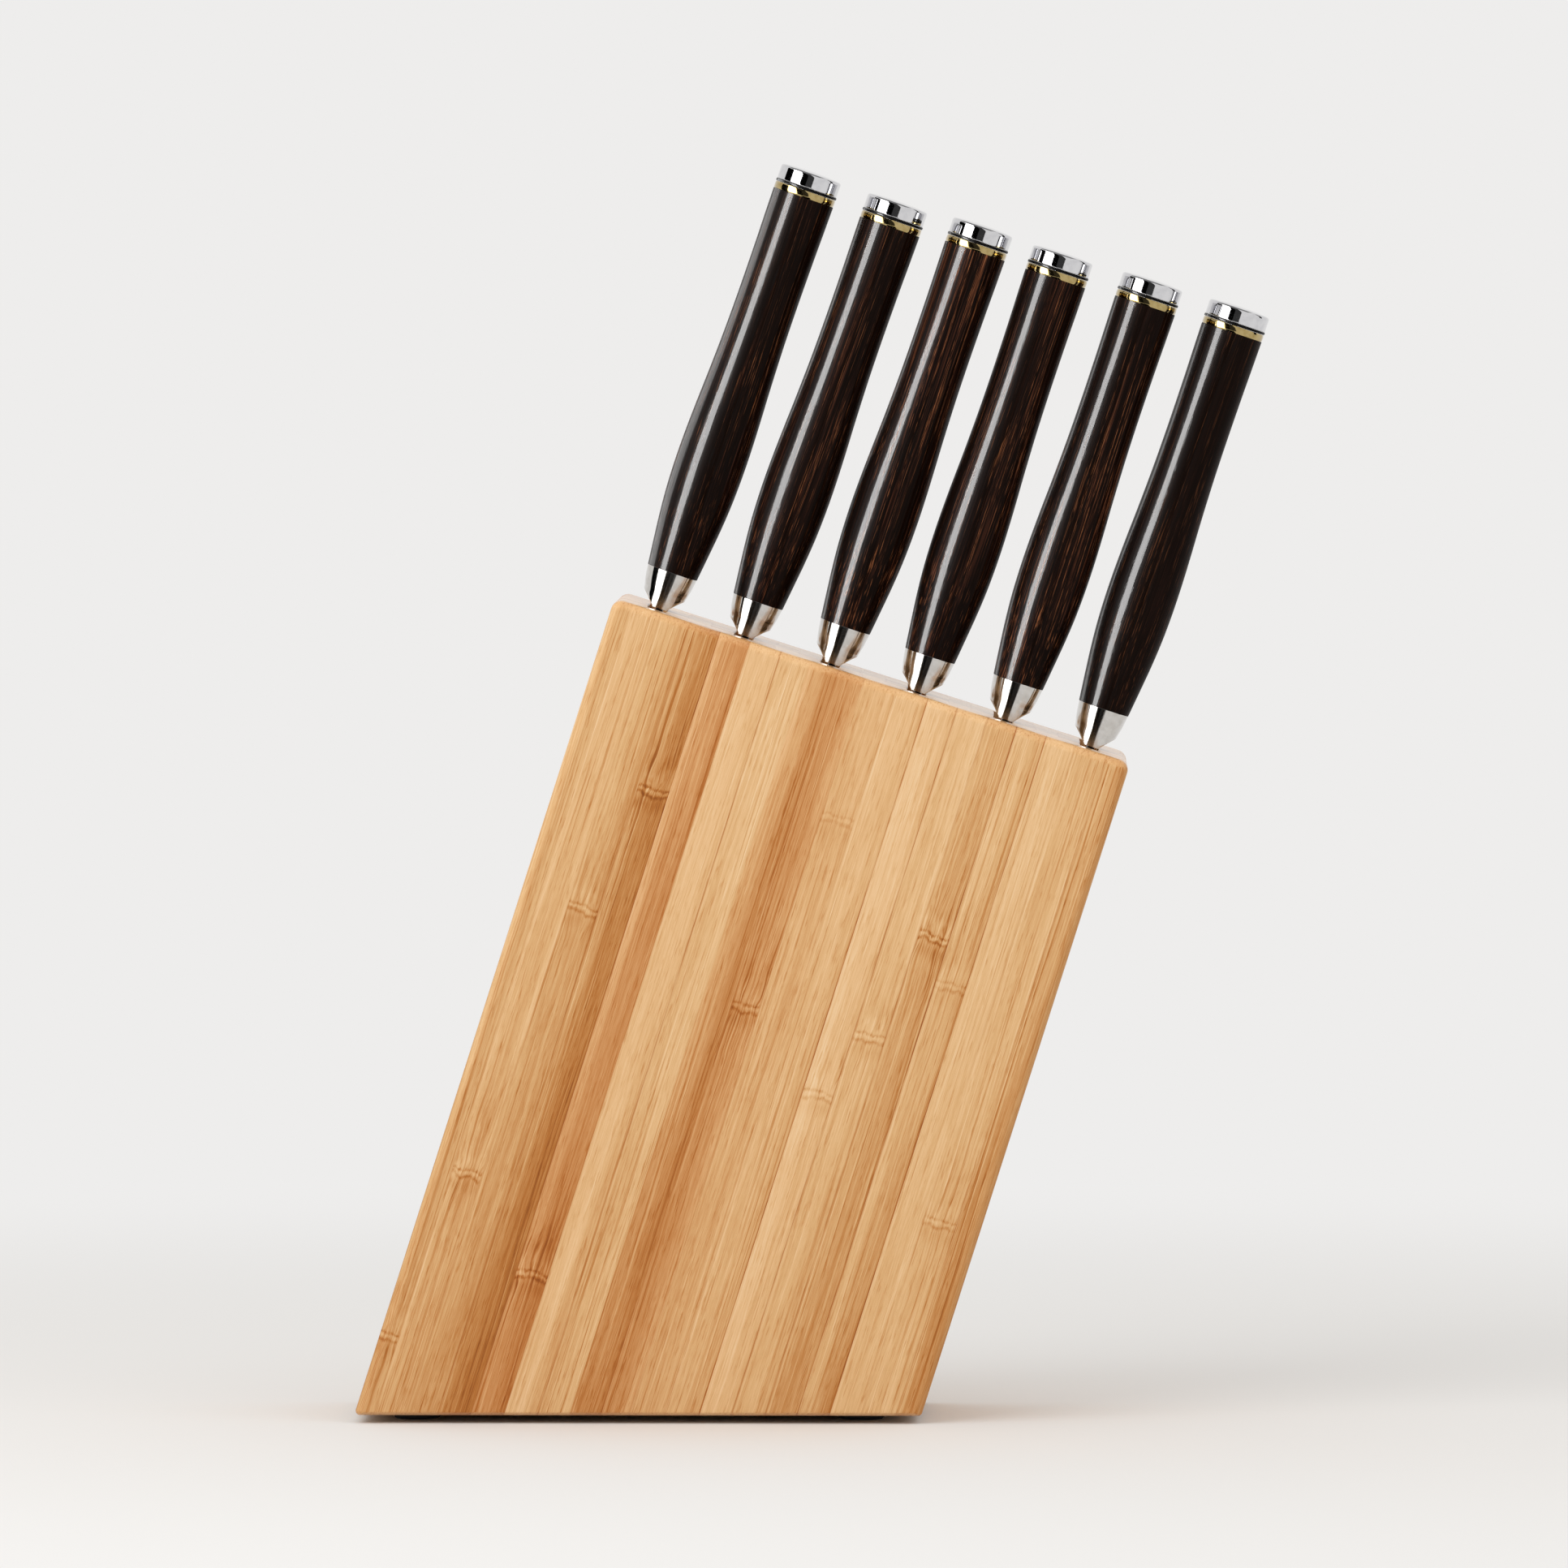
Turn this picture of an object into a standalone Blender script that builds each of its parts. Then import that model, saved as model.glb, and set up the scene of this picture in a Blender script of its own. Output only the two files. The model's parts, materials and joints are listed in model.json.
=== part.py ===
"""Slanted bamboo knife block with six knives.

Frame: metres, +Z up, +X to the right of the block's wide front face, -Y out of
that face.  The origin lies on the plane that the feet stand on, in the middle
of the whole object's footprint box.

The block is a slab that leans to the right.  Two outer boards sandwich a core
of upright dividers, and the gaps between the dividers are the knife slots.
Each knife is a steel blade with a hidden tang, a steel bolster, a hardwood
handle, a brass ring, a black spacer and a steel end cap, stacked on the tang.
"""
import math

import bpy
from mathutils import Vector

MM = 0.001

# ---------------------------------------------------------------- block sizes
SLANT = math.radians(17.7)        # lean of the block from upright
BLOCK_W = 151.4                   # across the slots, at right angles to them
BLOCK_LEFT_LEN = 240.5            # along the left slanted edge
BLOCK_D = 75.0                    # front face to back face
BOARD_T = 12.0                    # thickness of the front and back boards
BASE_T = 9.0                      # thickness of the base board
FOOT_H = 2.2                      # height that the feet lift the block
EDGE_R = 2.6                      # rounding of the outer edges
CORNER_R = 3.0                    # rounding of the two top corners
TOE_R = 1.2                       # rounding of the two bottom corners
GAP = 0.3                         # gap between neighbouring pieces
BLOCK_X = -128.463                # left bottom corner of the block

# ---------------------------------------------------------------- slot sizes
SLOT_W = 5.2                      # width of a slot
SLOT_PITCH = 25.5                 # slot to slot
SLOT_FIRST = 11.95                # left edge of the block to the first slot

# ---------------------------------------------------------------- foot sizes
FOOT_R = 6.5
FOOT_Y = 17.0
FOOT_INSET = 17.0                 # foot centre to the end of the base board
SCREW_R = 1.5
SCREW_HEAD_R = 3.2
SCREW_TOP = 8.4                   # height of the screw's tip above the feet

# ---------------------------------------------------------------- knife sizes
# Heights are measured up the knife from the top face of the block.
NECK_Z = 0.3                      # lower end of the bolster
RING_H = (122.8, 124.45)          # brass ring
SPACER_H = (124.75, 125.2)        # black spacer
CAP_H = (125.5, 130.15)           # end cap, rim to crown
BLADE_T = 2.2                     # blade thickness at the spine
SPINE_Y = -10.2                   # blade spine, from the knife's centre line
TANG = (0.9, 5.0, 3.2, 127.4)     # half thickness, half width low and high, top
BORE = (1.25, 5.35)               # half sizes of the tang's slot
SIDES = 16                        # sides of every oval section
OVAL = 2.25                       # exponent of the oval sections

# half thickness and half depth of the bolster's oval, up the knife, and the
# half thickness left between the two scoops that run into the blade's sides
BOLSTER_RINGS = [
    (0.3, 5.92, 9.55, 2.40), (0.8, 5.94, 9.56, 2.72), (1.7, 5.98, 9.57, 3.54),
    (2.65, 6.03, 9.58, 4.48), (3.65, 6.10, 9.60, 5.51), (4.55, 6.17, 9.62, 6.12),
    (6.8, 6.73, 9.68, 9.9), (10.7, 7.30, 9.75, 9.9),
]
# half thickness and half depth of the handle's oval, up the knife
HANDLE_RINGS = [
    (11.0, 7.33, 9.8), (18.7, 8.22, 10.3), (25.5, 8.95, 10.8),
    (34.0, 9.58, 11.35), (44.0, 9.82, 11.6), (53.0, 9.69, 11.5),
    (63.0, 9.30, 11.25), (73.6, 8.90, 10.9), (90.0, 8.62, 10.6),
    (106.0, 8.66, 10.7), (122.5, 8.86, 11.0),
]
CAP_A, CAP_B = 8.86, 11.0         # half sizes of the end cap and brass ring
SPACER_A, SPACER_B = 8.97, 11.08  # the spacer stands slightly proud

# name, slot number, length in the slot, blade width, lean in the slot (deg),
# neck offset from the slot's middle, place along the slot, tip height fraction,
# extra height of the bolster
KNIVES = [
    ("paring", 0, 87.0, 22.0, 1.58, 0.48, -1.5, 0.35, 0.0),
    ("peeling", 1, 81.0, 20.5, 1.68, 0.45, -1.5, 0.80, -0.5),
    ("tomato", 2, 105.0, 23.0, 1.35, 0.55, -2.0, 0.30, 0.35),
    ("chefs", 3, 195.0, 38.0, 0.66, 0.42, -6.0, 0.25, -0.2),
    ("santoku", 4, 175.0, 36.0, 0.87, 0.78, -5.5, 0.66, 0.3),
    ("utility", 5, 128.0, 24.0, 1.06, 0.45, -2.0, 0.30, 0.5),
]

# ---------------------------------------------------------------- clean scene
for old in list(bpy.data.objects):
    bpy.data.objects.remove(old, do_unlink=True)


def material(name, colour, rough, metal):
    mat = bpy.data.materials.new(name)
    mat.use_nodes = True
    bsdf = mat.node_tree.nodes["Principled BSDF"]
    bsdf.inputs["Base Color"].default_value = (*colour, 1.0)
    bsdf.inputs["Roughness"].default_value = rough
    bsdf.inputs["Metallic"].default_value = metal
    return mat


BAMBOO = material("bamboo", (0.72, 0.44, 0.20), 0.42, 0.0)
DARK_WOOD = material("dark_wood", (0.030, 0.014, 0.009), 0.25, 0.0)
STEEL = material("blade_steel", (0.62, 0.62, 0.63), 0.28, 1.0)
BOLSTER = material("bolster_steel", (0.66, 0.65, 0.64), 0.22, 1.0)
POLISHED = material("polished_steel", (0.75, 0.75, 0.76), 0.08, 1.0)
BRASS = material("brass", (0.80, 0.60, 0.26), 0.18, 1.0)
BLACK = material("black_spacer", (0.015, 0.015, 0.015), 0.35, 0.0)
RUBBER = material("foot_rubber", (0.03, 0.03, 0.03), 0.75, 0.0)
SCREW = material("screw_steel", (0.55, 0.55, 0.56), 0.35, 1.0)


# ---------------------------------------------------------------- mesh helpers
def make(name, verts, faces, mat, parent=None, loc=(0, 0, 0), smooth=30):
    """A named object from points in millimetres."""
    mesh = bpy.data.meshes.new(name)
    mesh.from_pydata([Vector(v) * MM for v in verts], [], faces)
    mesh.validate()
    mesh.update()
    mesh.shade_smooth()
    mesh.set_sharp_from_angle(angle=math.radians(smooth))
    mesh.materials.append(mat)
    obj = bpy.data.objects.new(name, mesh)
    bpy.context.scene.collection.objects.link(obj)
    obj.location = Vector(loc) * MM
    if parent is not None:
        obj.parent = parent
    return obj


def skin(loops, closed=False, cap_start=True, cap_end=True):
    """Faces over loops of equal length; closed joins the last to the first."""
    n = len(loops[0])
    verts = [p for loop in loops for p in loop]
    faces = []
    spans = len(loops) if closed else len(loops) - 1
    for k in range(spans):
        a, b = k * n, ((k + 1) % len(loops)) * n
        for i in range(n):
            j = (i + 1) % n
            faces.append((a + i, a + j, b + j, b + i))
    if not closed:
        if cap_start:
            faces.append(tuple(reversed(range(n))))
        if cap_end:
            last = (len(loops) - 1) * n
            faces.append(tuple(range(last, last + n)))
    return verts, faces


def oval(a, b, z, n=SIDES, power=OVAL):
    """Superellipse ring, counter-clockwise seen from above."""
    pts = []
    for i in range(n):
        t = 2.0 * math.pi * i / n
        c, s = math.cos(t), math.sin(t)
        x = math.copysign(abs(c) ** (2.0 / power), c) * a if abs(c) > 1e-9 else 0.0
        y = math.copysign(abs(s) ** (2.0 / power), s) * b if abs(s) > 1e-9 else 0.0
        pts.append((x, y, z))
    return pts


def slot_ring(hx, hy, z, n=SIDES):
    """Rectangle with as many points as an oval ring, in the same order."""
    pts = []
    for i in range(n):
        t = 2.0 * math.pi * i / n
        c, s = math.cos(t), math.sin(t)
        k = 1.0 / max(abs(c), abs(s))
        pts.append((hx * c * k, hy * s * k, z))
    return pts


def circle(r, z, n=SIDES, cx=0.0, cy=0.0):
    return [(cx + r * math.cos(2 * math.pi * i / n),
             cy + r * math.sin(2 * math.pi * i / n), z) for i in range(n)]


def rounded(points, radii, segments):
    """Polygon (counter-clockwise) with each corner turned into an arc.

    segments: number of sides of each corner's arc.
    """
    out = []
    n = len(points)
    for i, p in enumerate(points):
        p = Vector(p)
        a = (Vector(points[i - 1]) - p).normalized()
        b = (Vector(points[(i + 1) % n]) - p).normalized()
        r = radii[i]
        if r <= 0.0:
            out.append((p.x, p.y))
            continue
        half = a.angle(b) / 2.0
        d = r / math.tan(half)
        centre = p + (a + b).normalized() * (r / math.sin(half))
        start, end = p + a * d - centre, p + b * d - centre
        sweep = math.pi - 2.0 * half
        ang = math.atan2(start.y, start.x)
        for k in range(segments[i] + 1):
            t = ang + sweep * k / segments[i]
            out.append((centre.x + r * math.cos(t), centre.y + r * math.sin(t)))
    return out


# ---------------------------------------------------------------- block frame
SIN, COS = math.sin(SLANT), math.cos(SLANT)
U = Vector((COS, -SIN))            # across the slots, in X and Z
V = Vector((SIN, COS))             # up the slots
TOP_LEFT = Vector((BLOCK_X, FOOT_H)) + V * BLOCK_LEFT_LEN
SLOT_S = [SLOT_FIRST + SLOT_PITCH * i for i in range(len(KNIVES))]


def top_point(s):
    """Point of the top face, s across from the left edge, as (x, z)."""
    return TOP_LEFT + U * s


def drop_to(s, z):
    """Point at height z on the line that runs down the block from s."""
    p = top_point(s)
    return p - V * ((p.y - z) / COS)


def quad(s0, s1, z, inset=0.0, inset_low=0.0):
    """Parallelogram corners BL, BR, TR, TL between s0 and s1, inset."""
    a, b = s0 + inset, s1 - inset
    low = z + inset_low
    return [drop_to(a, low), drop_to(b, low),
            top_point(b) - V * inset, top_point(a) - V * inset]


def plate(name, stages, mat, smooth=30):
    """Skin over outlines in X and Z, each at its own Y, listed front first."""
    loops = [[(p[0], y, p[1]) for p in outline] for y, outline in reversed(stages)]
    verts, faces = skin(loops)
    return make(name, verts, faces, mat, smooth=smooth)


def board_outline(inset):
    low = inset * 0.5
    pts = quad(0.0, BLOCK_W, FOOT_H, inset, low)
    top_r = max(CORNER_R - inset, 0.5)
    toe_r = max(TOE_R - low, 0.3)
    return rounded(pts, [toe_r, toe_r, top_r, top_r], [6, 6, 3, 3])


def edge_stages(face_y, inner_y):
    """Outlines of an outer board from front to back, its face edges rounded."""
    side = 1.0 if inner_y > face_y else -1.0
    stages = []
    for k in range(4):
        t = math.radians(90.0 * k / 3)
        depth = EDGE_R * (1.0 - math.cos(t))
        inset = EDGE_R * (1.0 - math.sin(t))
        stages.append((face_y + side * depth, board_outline(inset)))
    stages.append((inner_y, board_outline(0.0)))
    return stages if side > 0 else list(reversed(stages))


HALF_D = BLOCK_D / 2.0
CORE_Y = HALF_D - BOARD_T                     # inner faces of the boards

plate("front_board", edge_stages(-HALF_D, -CORE_Y), BAMBOO)
plate("back_board", edge_stages(HALF_D, CORE_Y), BAMBOO)

CORE_HALF = CORE_Y - GAP
CORE_LOW = FOOT_H + BASE_T + GAP


def core_piece(name, s0, s1, top_radii):
    pts = quad(s0, s1, CORE_LOW)
    outline = rounded(pts, [0.0, 0.0, top_radii[1], top_radii[0]], [3] * 4)
    return plate(name, [(-CORE_HALF, outline), (CORE_HALF, outline)], BAMBOO)


half_slot = SLOT_W / 2.0
core_piece("left_end_board", 0.0, SLOT_S[0] - half_slot, (CORNER_R, 0.0))
for i in range(len(SLOT_S) - 1):
    core_piece("divider_%d" % (i + 1), SLOT_S[i] + half_slot,
               SLOT_S[i + 1] - half_slot, (0.0, 0.0))
core_piece("right_end_board", SLOT_S[-1] + half_slot, BLOCK_W, (0.0, CORNER_R))

# base board between the outer boards, with a blind pilot hole over each foot
base_bl, base_br = drop_to(0.0, FOOT_H), drop_to(BLOCK_W, FOOT_H)
base_tl, base_tr = drop_to(0.0, FOOT_H + BASE_T), drop_to(BLOCK_W, FOOT_H + BASE_T)
base_outline = rounded([base_bl, base_br, base_tr, base_tl],
                       [TOE_R, TOE_R, 0.0, 0.0], [6, 6, 3, 3])
base = plate("base_board", [(-CORE_HALF, base_outline), (CORE_HALF, base_outline)],
             BAMBOO)

FOOT_POINTS = [("front_left", base_bl.x + FOOT_INSET, -FOOT_Y),
               ("front_right", base_br.x - FOOT_INSET, -FOOT_Y),
               ("back_left", base_bl.x + FOOT_INSET, FOOT_Y),
               ("back_right", base_br.x - FOOT_INSET, FOOT_Y)]
for tag, x, y in FOOT_POINTS:
    loops = [circle(SCREW_R + GAP, FOOT_H - 1.0, 12), circle(SCREW_R + GAP, SCREW_TOP + GAP, 12)]
    verts, faces = skin(loops)
    cutter = make("pilot_" + tag, verts, faces, SCREW, loc=(x, y, 0.0))
    cutter.hide_render = True
    cutter.display_type = "WIRE"
    cut = base.modifiers.new("pilot_" + tag, "BOOLEAN")
    cut.operation = "DIFFERENCE"
    cut.object = cutter
    cut.solver = "EXACT"

# ---------------------------------------------------------------- feet, screws
for tag, x, y in FOOT_POINTS:
    top = FOOT_H - GAP
    loops = [circle(FOOT_R - 0.6, 0.0), circle(FOOT_R, 0.7), circle(FOOT_R, top),
             circle(SCREW_R + 0.4, top), circle(SCREW_R + 0.4, 1.5),
             circle(SCREW_HEAD_R + 0.4, 1.5), circle(SCREW_HEAD_R + 0.4, 0.0)]
    verts, faces = skin(loops, closed=True)
    make("foot_" + tag, verts, faces, RUBBER, loc=(x, y, 0.0))
    loops = [circle(SCREW_HEAD_R * 0.75, 0.3, 12), circle(SCREW_HEAD_R, 0.65, 12),
             circle(SCREW_HEAD_R, 1.2, 12), circle(SCREW_R, 1.2, 12),
             circle(SCREW_R, SCREW_TOP - 2.0, 12), circle(0.35, SCREW_TOP, 12)]
    verts, faces = skin(loops)
    make("foot_screw_" + tag, verts, faces, SCREW, loc=(x, y, 0.0))


# ---------------------------------------------------------------- knives
def blade_section(y0, y1, spine, middle, edge, z):
    """Six points round a blade: spine, middle and edge on each face."""
    ym = y0 + 0.45 * (y1 - y0)
    return [(spine / 2, y0, z), (middle / 2, ym, z), (edge / 2, y1, z),
            (-edge / 2, y1, z), (-middle / 2, ym, z), (-spine / 2, y0, z)]


def blade_loops(length, width, tip_frac, tang_top):
    """Sections from the tip up to the tang's end."""
    tip_y = SPINE_Y + tip_frac * width
    loops = []
    for f in (0.992, 0.96, 0.90, 0.80, 0.66, 0.48, 0.28):
        y0 = SPINE_Y + (tip_y - SPINE_Y) * f ** 3.5
        y1 = tip_y + (SPINE_Y + width - tip_y) * (1.0 - f ** 3.2) ** 0.85
        spine = BLADE_T - (BLADE_T - 0.7) * f
        loops.append(blade_section(y0, y1, spine, spine * 0.82, 0.3, -length * f))
    heel = BLADE_T * 0.98
    loops.append(blade_section(SPINE_Y, SPINE_Y + width, heel, heel * 0.85, 0.35, -6.4))
    loops.append(blade_section(SPINE_Y, SPINE_Y + 19.8, heel, heel * 0.95, heel * 0.5, -5.0))
    loops.append(blade_section(SPINE_Y, SPINE_Y + 19.6, BLADE_T, BLADE_T, BLADE_T, 0.0))
    tx, ty0, ty1, _ = TANG
    for hw, z in ((ty0, 0.0), (ty0, 30.0), (ty1, 60.0), (ty1, tang_top)):
        loops.append(blade_section(-hw, hw, 2 * tx, 2 * tx, 2 * tx, z))
    return loops


def tube(loops):
    """Closed tube over oval loops with the tang's rectangular slot through it."""
    hx, hy = BORE
    loops = loops + [slot_ring(hx, hy, loops[-1][0][2]), slot_ring(hx, hy, loops[0][0][2])]
    return skin(loops, closed=True)


def scooped(z, a, b, flat):
    """Oval whose left and right are cut back to a half thickness."""
    return [(max(-flat, min(flat, x)), y, h) for x, y, h in oval(a, b, z)]


for name, slot, length, width, lean, offset, y, tip_frac, rise in KNIVES:
    neck = top_point(SLOT_S[slot] + offset)
    frame = bpy.data.objects.new(name + "_knife_axis", None)
    bpy.context.scene.collection.objects.link(frame)
    frame.location = Vector((neck.x, y, neck.y)) * MM
    frame.rotation_euler = (0.0, SLANT + math.radians(lean), 0.0)

    tang_top = TANG[3] + rise
    verts, faces = skin(blade_loops(length, width, tip_frac, tang_top))
    make(name + "_blade", verts, faces, STEEL, frame)

    height = BOLSTER_RINGS[-1][0] - NECK_Z
    stretch = (height + rise) / height
    verts, faces = tube([scooped(NECK_Z + (z - NECK_Z) * stretch, a, b, flat)
                         for z, a, b, flat in BOLSTER_RINGS])
    make(name + "_bolster", verts, faces, BOLSTER, frame)

    verts, faces = tube([oval(a, b, z + rise) for z, a, b in HANDLE_RINGS])
    make(name + "_handle", verts, faces, DARK_WOOD, frame)

    verts, faces = tube([oval(CAP_A, CAP_B, z + rise) for z in RING_H])
    make(name + "_brass_ring", verts, faces, BRASS, frame)

    verts, faces = tube([oval(SPACER_A, SPACER_B, z + rise) for z in SPACER_H])
    make(name + "_spacer", verts, faces, BLACK, frame)

    z0, z1 = CAP_H[0] + rise, CAP_H[1] + rise
    loops = [slot_ring(BORE[0], TANG[2] + 0.35, tang_top + GAP),
             slot_ring(BORE[0], TANG[2] + 0.35, z0),
             oval(CAP_A, CAP_B, z0), oval(CAP_A, CAP_B, z1 - 1.0),
             oval(CAP_A - 0.35, CAP_B - 0.35, z1 - 0.5),
             oval(CAP_A * 0.62, CAP_B * 0.62, z1 - 0.15),
             oval(CAP_A * 0.2, CAP_B * 0.2, z1)]
    verts, faces = skin(loops)
    make(name + "_end_cap", verts, faces, POLISHED, frame)
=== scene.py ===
"""Looks of the knife block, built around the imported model.

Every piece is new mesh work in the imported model's own frame.  Lengths in the
helpers are millimetres and become metres when a mesh is made.
"""

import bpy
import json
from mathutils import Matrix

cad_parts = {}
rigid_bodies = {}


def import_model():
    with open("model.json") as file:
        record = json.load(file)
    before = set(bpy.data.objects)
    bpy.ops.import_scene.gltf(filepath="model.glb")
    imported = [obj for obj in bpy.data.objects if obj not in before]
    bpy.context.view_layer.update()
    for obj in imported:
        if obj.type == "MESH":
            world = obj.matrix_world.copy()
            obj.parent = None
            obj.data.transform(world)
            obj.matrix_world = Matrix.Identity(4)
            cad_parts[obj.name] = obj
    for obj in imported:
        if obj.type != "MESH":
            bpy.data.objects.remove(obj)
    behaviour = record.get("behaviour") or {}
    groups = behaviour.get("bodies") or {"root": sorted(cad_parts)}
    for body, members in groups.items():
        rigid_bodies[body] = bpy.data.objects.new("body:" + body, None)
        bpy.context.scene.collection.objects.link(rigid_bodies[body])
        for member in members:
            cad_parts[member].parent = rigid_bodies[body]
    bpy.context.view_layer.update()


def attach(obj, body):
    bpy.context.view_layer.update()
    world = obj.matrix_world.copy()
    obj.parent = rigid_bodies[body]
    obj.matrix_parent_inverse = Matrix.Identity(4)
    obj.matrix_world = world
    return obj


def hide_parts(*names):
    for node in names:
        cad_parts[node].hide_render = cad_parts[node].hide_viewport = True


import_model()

import json
import math
import random

import bmesh
import bpy
from mathutils import Matrix, Vector

MM = 0.001

# ------------------------------------------------------------------ the design
SLANT = math.radians(17.7)
BLOCK_W, BLOCK_LEFT_LEN, BLOCK_D = 151.4, 240.5, 75.0
BOARD_T, BASE_T, FOOT_H = 12.0, 9.0, 2.2
EDGE_R, CORNER_R, TOE_R = 2.6, 3.0, 1.2
BLOCK_X = -128.463
SLOT_W, SLOT_PITCH, SLOT_FIRST = 5.2, 25.5, 11.95
FOOT_R, FOOT_Y, FOOT_INSET = 6.5, 17.0, 17.0
SEAM = 0.03                       # glue line between bamboo pieces
BLADE_T, SPINE_Y = 2.2, -10.2
TANG = (0.9, 5.0, 3.2, 127.4)
BORE = (1.2, 5.3)
OVAL = 2.25

SIN, COS = math.sin(SLANT), math.cos(SLANT)
U = Vector((COS, 0.0, -SIN))
V = Vector((SIN, 0.0, COS))
TOP_LEFT = Vector((BLOCK_X, 0.0, FOOT_H)) + V * BLOCK_LEFT_LEN
SLOT_S = [SLOT_FIRST + SLOT_PITCH * i for i in range(6)]
HALF_D = BLOCK_D / 2.0
CORE_Y = HALF_D - BOARD_T

# name, slot, length in the slot, blade width, lean, neck offset, y, tip height,
# extra height of the bolster, warmth of the handle's wood
KNIVES = [
    ("paring", 0, 87.0, 22.0, 1.58, 0.48, -1.5, 0.35, 0.0, 0.55),
    ("peeling", 1, 81.0, 20.5, 1.68, 0.45, -1.5, 0.80, -0.5, 0.62),
    ("tomato", 2, 105.0, 23.0, 1.35, 0.55, -2.0, 0.30, 0.35, 0.95),
    ("chefs", 3, 195.0, 38.0, 0.66, 0.42, -6.0, 0.25, -0.2, 0.76),
    ("santoku", 4, 175.0, 36.0, 0.87, 0.78, -5.5, 0.66, 0.3, 0.95),
    ("utility", 5, 128.0, 24.0, 1.06, 0.45, -2.0, 0.30, 0.5, 0.28),
]


# ------------------------------------------------------------------ node helper
class Nodes:
    """Short way to write a shader: every call adds a node, returns a socket."""

    def __init__(self, name):
        self.mat = bpy.data.materials.new(name)
        self.mat.use_nodes = True
        self.tree = self.mat.node_tree
        self.bsdf = self.tree.nodes["Principled BSDF"]
        self.count = 0

    def node(self, kind):
        n = self.tree.nodes.new(kind)
        n.location = (-220 * (self.count // 8) - 300, -160 * (self.count % 8))
        self.count += 1
        return n

    def put(self, socket, value):
        if isinstance(value, bpy.types.NodeSocket):
            self.tree.links.new(value, socket)
        elif value is not None:
            socket.default_value = value

    def math(self, op, a, b=None, c=None, clamp=False):
        n = self.node("ShaderNodeMath")
        n.operation = op
        n.use_clamp = clamp
        for i, v in enumerate((a, b, c)):
            self.put(n.inputs[i], v)
        return n.outputs[0]

    def add(self, a, b): return self.math("ADD", a, b)
    def sub(self, a, b): return self.math("SUBTRACT", a, b)
    def mul(self, a, b): return self.math("MULTIPLY", a, b)
    def madd(self, a, b, c): return self.math("MULTIPLY_ADD", a, b, c)

    def bell(self, x, centre, width):
        """1 at centre, falling to nothing a few widths away."""
        d = self.mul(self.sub(x, centre), 1.0 / width)
        return self.math("EXPONENT", self.mul(self.mul(d, d), -1.0))

    def ramp(self, x, lo, hi, out_lo=0.0, out_hi=1.0, smooth=True):
        n = self.node("ShaderNodeMapRange")
        n.interpolation_type = "SMOOTHSTEP" if smooth else "LINEAR"
        self.put(n.inputs["Value"], x)
        self.put(n.inputs["From Min"], lo)
        self.put(n.inputs["From Max"], hi)
        self.put(n.inputs["To Min"], out_lo)
        self.put(n.inputs["To Max"], out_hi)
        return n.outputs["Result"]

    def attribute(self, name):
        n = self.node("ShaderNodeAttribute")
        n.attribute_name = name
        s = self.node("ShaderNodeSeparateXYZ")
        self.put(s.inputs[0], n.outputs["Vector"])
        return s.outputs[0], s.outputs[1], s.outputs[2]

    def local_xyz(self):
        """Millimetres in the piece's own axes: up the knife, or up the screw."""
        return self.attribute("local")

    def xyz(self, x, y, z):
        n = self.node("ShaderNodeCombineXYZ")
        for i, v in enumerate((x, y, z)):
            self.put(n.inputs[i], v)
        return n.outputs[0]

    def noise(self, vector, detail=2.0, rough=0.5, distort=0.0):
        n = self.node("ShaderNodeTexNoise")
        n.inputs["Scale"].default_value = 1.0
        n.inputs["Detail"].default_value = detail
        n.inputs["Roughness"].default_value = rough
        n.inputs["Distortion"].default_value = distort
        self.put(n.inputs["Vector"], vector)
        return n.outputs["Fac"]

    def cells(self, vector, feature="F1"):
        n = self.node("ShaderNodeTexVoronoi")
        n.feature = feature
        n.inputs["Scale"].default_value = 1.0
        self.put(n.inputs["Vector"], vector)
        return n.outputs["Distance"]

    def colours(self, x, stops):
        n = self.node("ShaderNodeValToRGB")
        self.put(n.inputs[0], x)
        band = n.color_ramp
        while len(band.elements) > 1:
            band.elements.remove(band.elements[-1])
        for i, (pos, rgb) in enumerate(stops):
            e = band.elements[0] if i == 0 else band.elements.new(pos)
            e.position = pos
            e.color = (*srgb(rgb), 1.0)
        return n.outputs[0]

    def mix(self, factor, a, b, mode="MIX"):
        n = self.node("ShaderNodeMix")
        n.data_type = "RGBA"
        n.blend_type = mode
        n.clamp_factor = True
        self.put(n.inputs[0], factor)
        for i, v in ((6, a), (7, b)):
            if isinstance(v, tuple):
                v = (*srgb(v), 1.0)
            self.put(n.inputs[i], v)
        return n.outputs[2]

    def bump(self, height, strength, distance, normal=None):
        n = self.node("ShaderNodeBump")
        n.inputs["Strength"].default_value = strength
        n.inputs["Distance"].default_value = distance
        self.put(n.inputs["Height"], height)
        if normal is not None:
            self.put(n.inputs["Normal"], normal)
        return n.outputs[0]

    def set(self, **values):
        names = {"colour": "Base Color", "rough": "Roughness", "metal": "Metallic",
                 "normal": "Normal", "coat": "Coat Weight", "coat_rough": "Coat Roughness",
                 "coat_normal": "Coat Normal", "coat_ior": "Coat IOR", "ior": "IOR",
                 "specular": "Specular IOR Level", "aniso": "Anisotropic",
                 "tangent": "Tangent"}
        for key, value in values.items():
            if isinstance(value, tuple):
                value = (*srgb(value), 1.0)
            self.put(self.bsdf.inputs[names[key]], value)
        return self.mat


def srgb(rgb):
    """Display colour 0-255 to linear."""
    out = []
    for c in rgb[:3]:
        c = c / 255.0
        out.append(c / 12.92 if c <= 0.04045 else ((c + 0.055) / 1.055) ** 2.4)
    return tuple(out)


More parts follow.
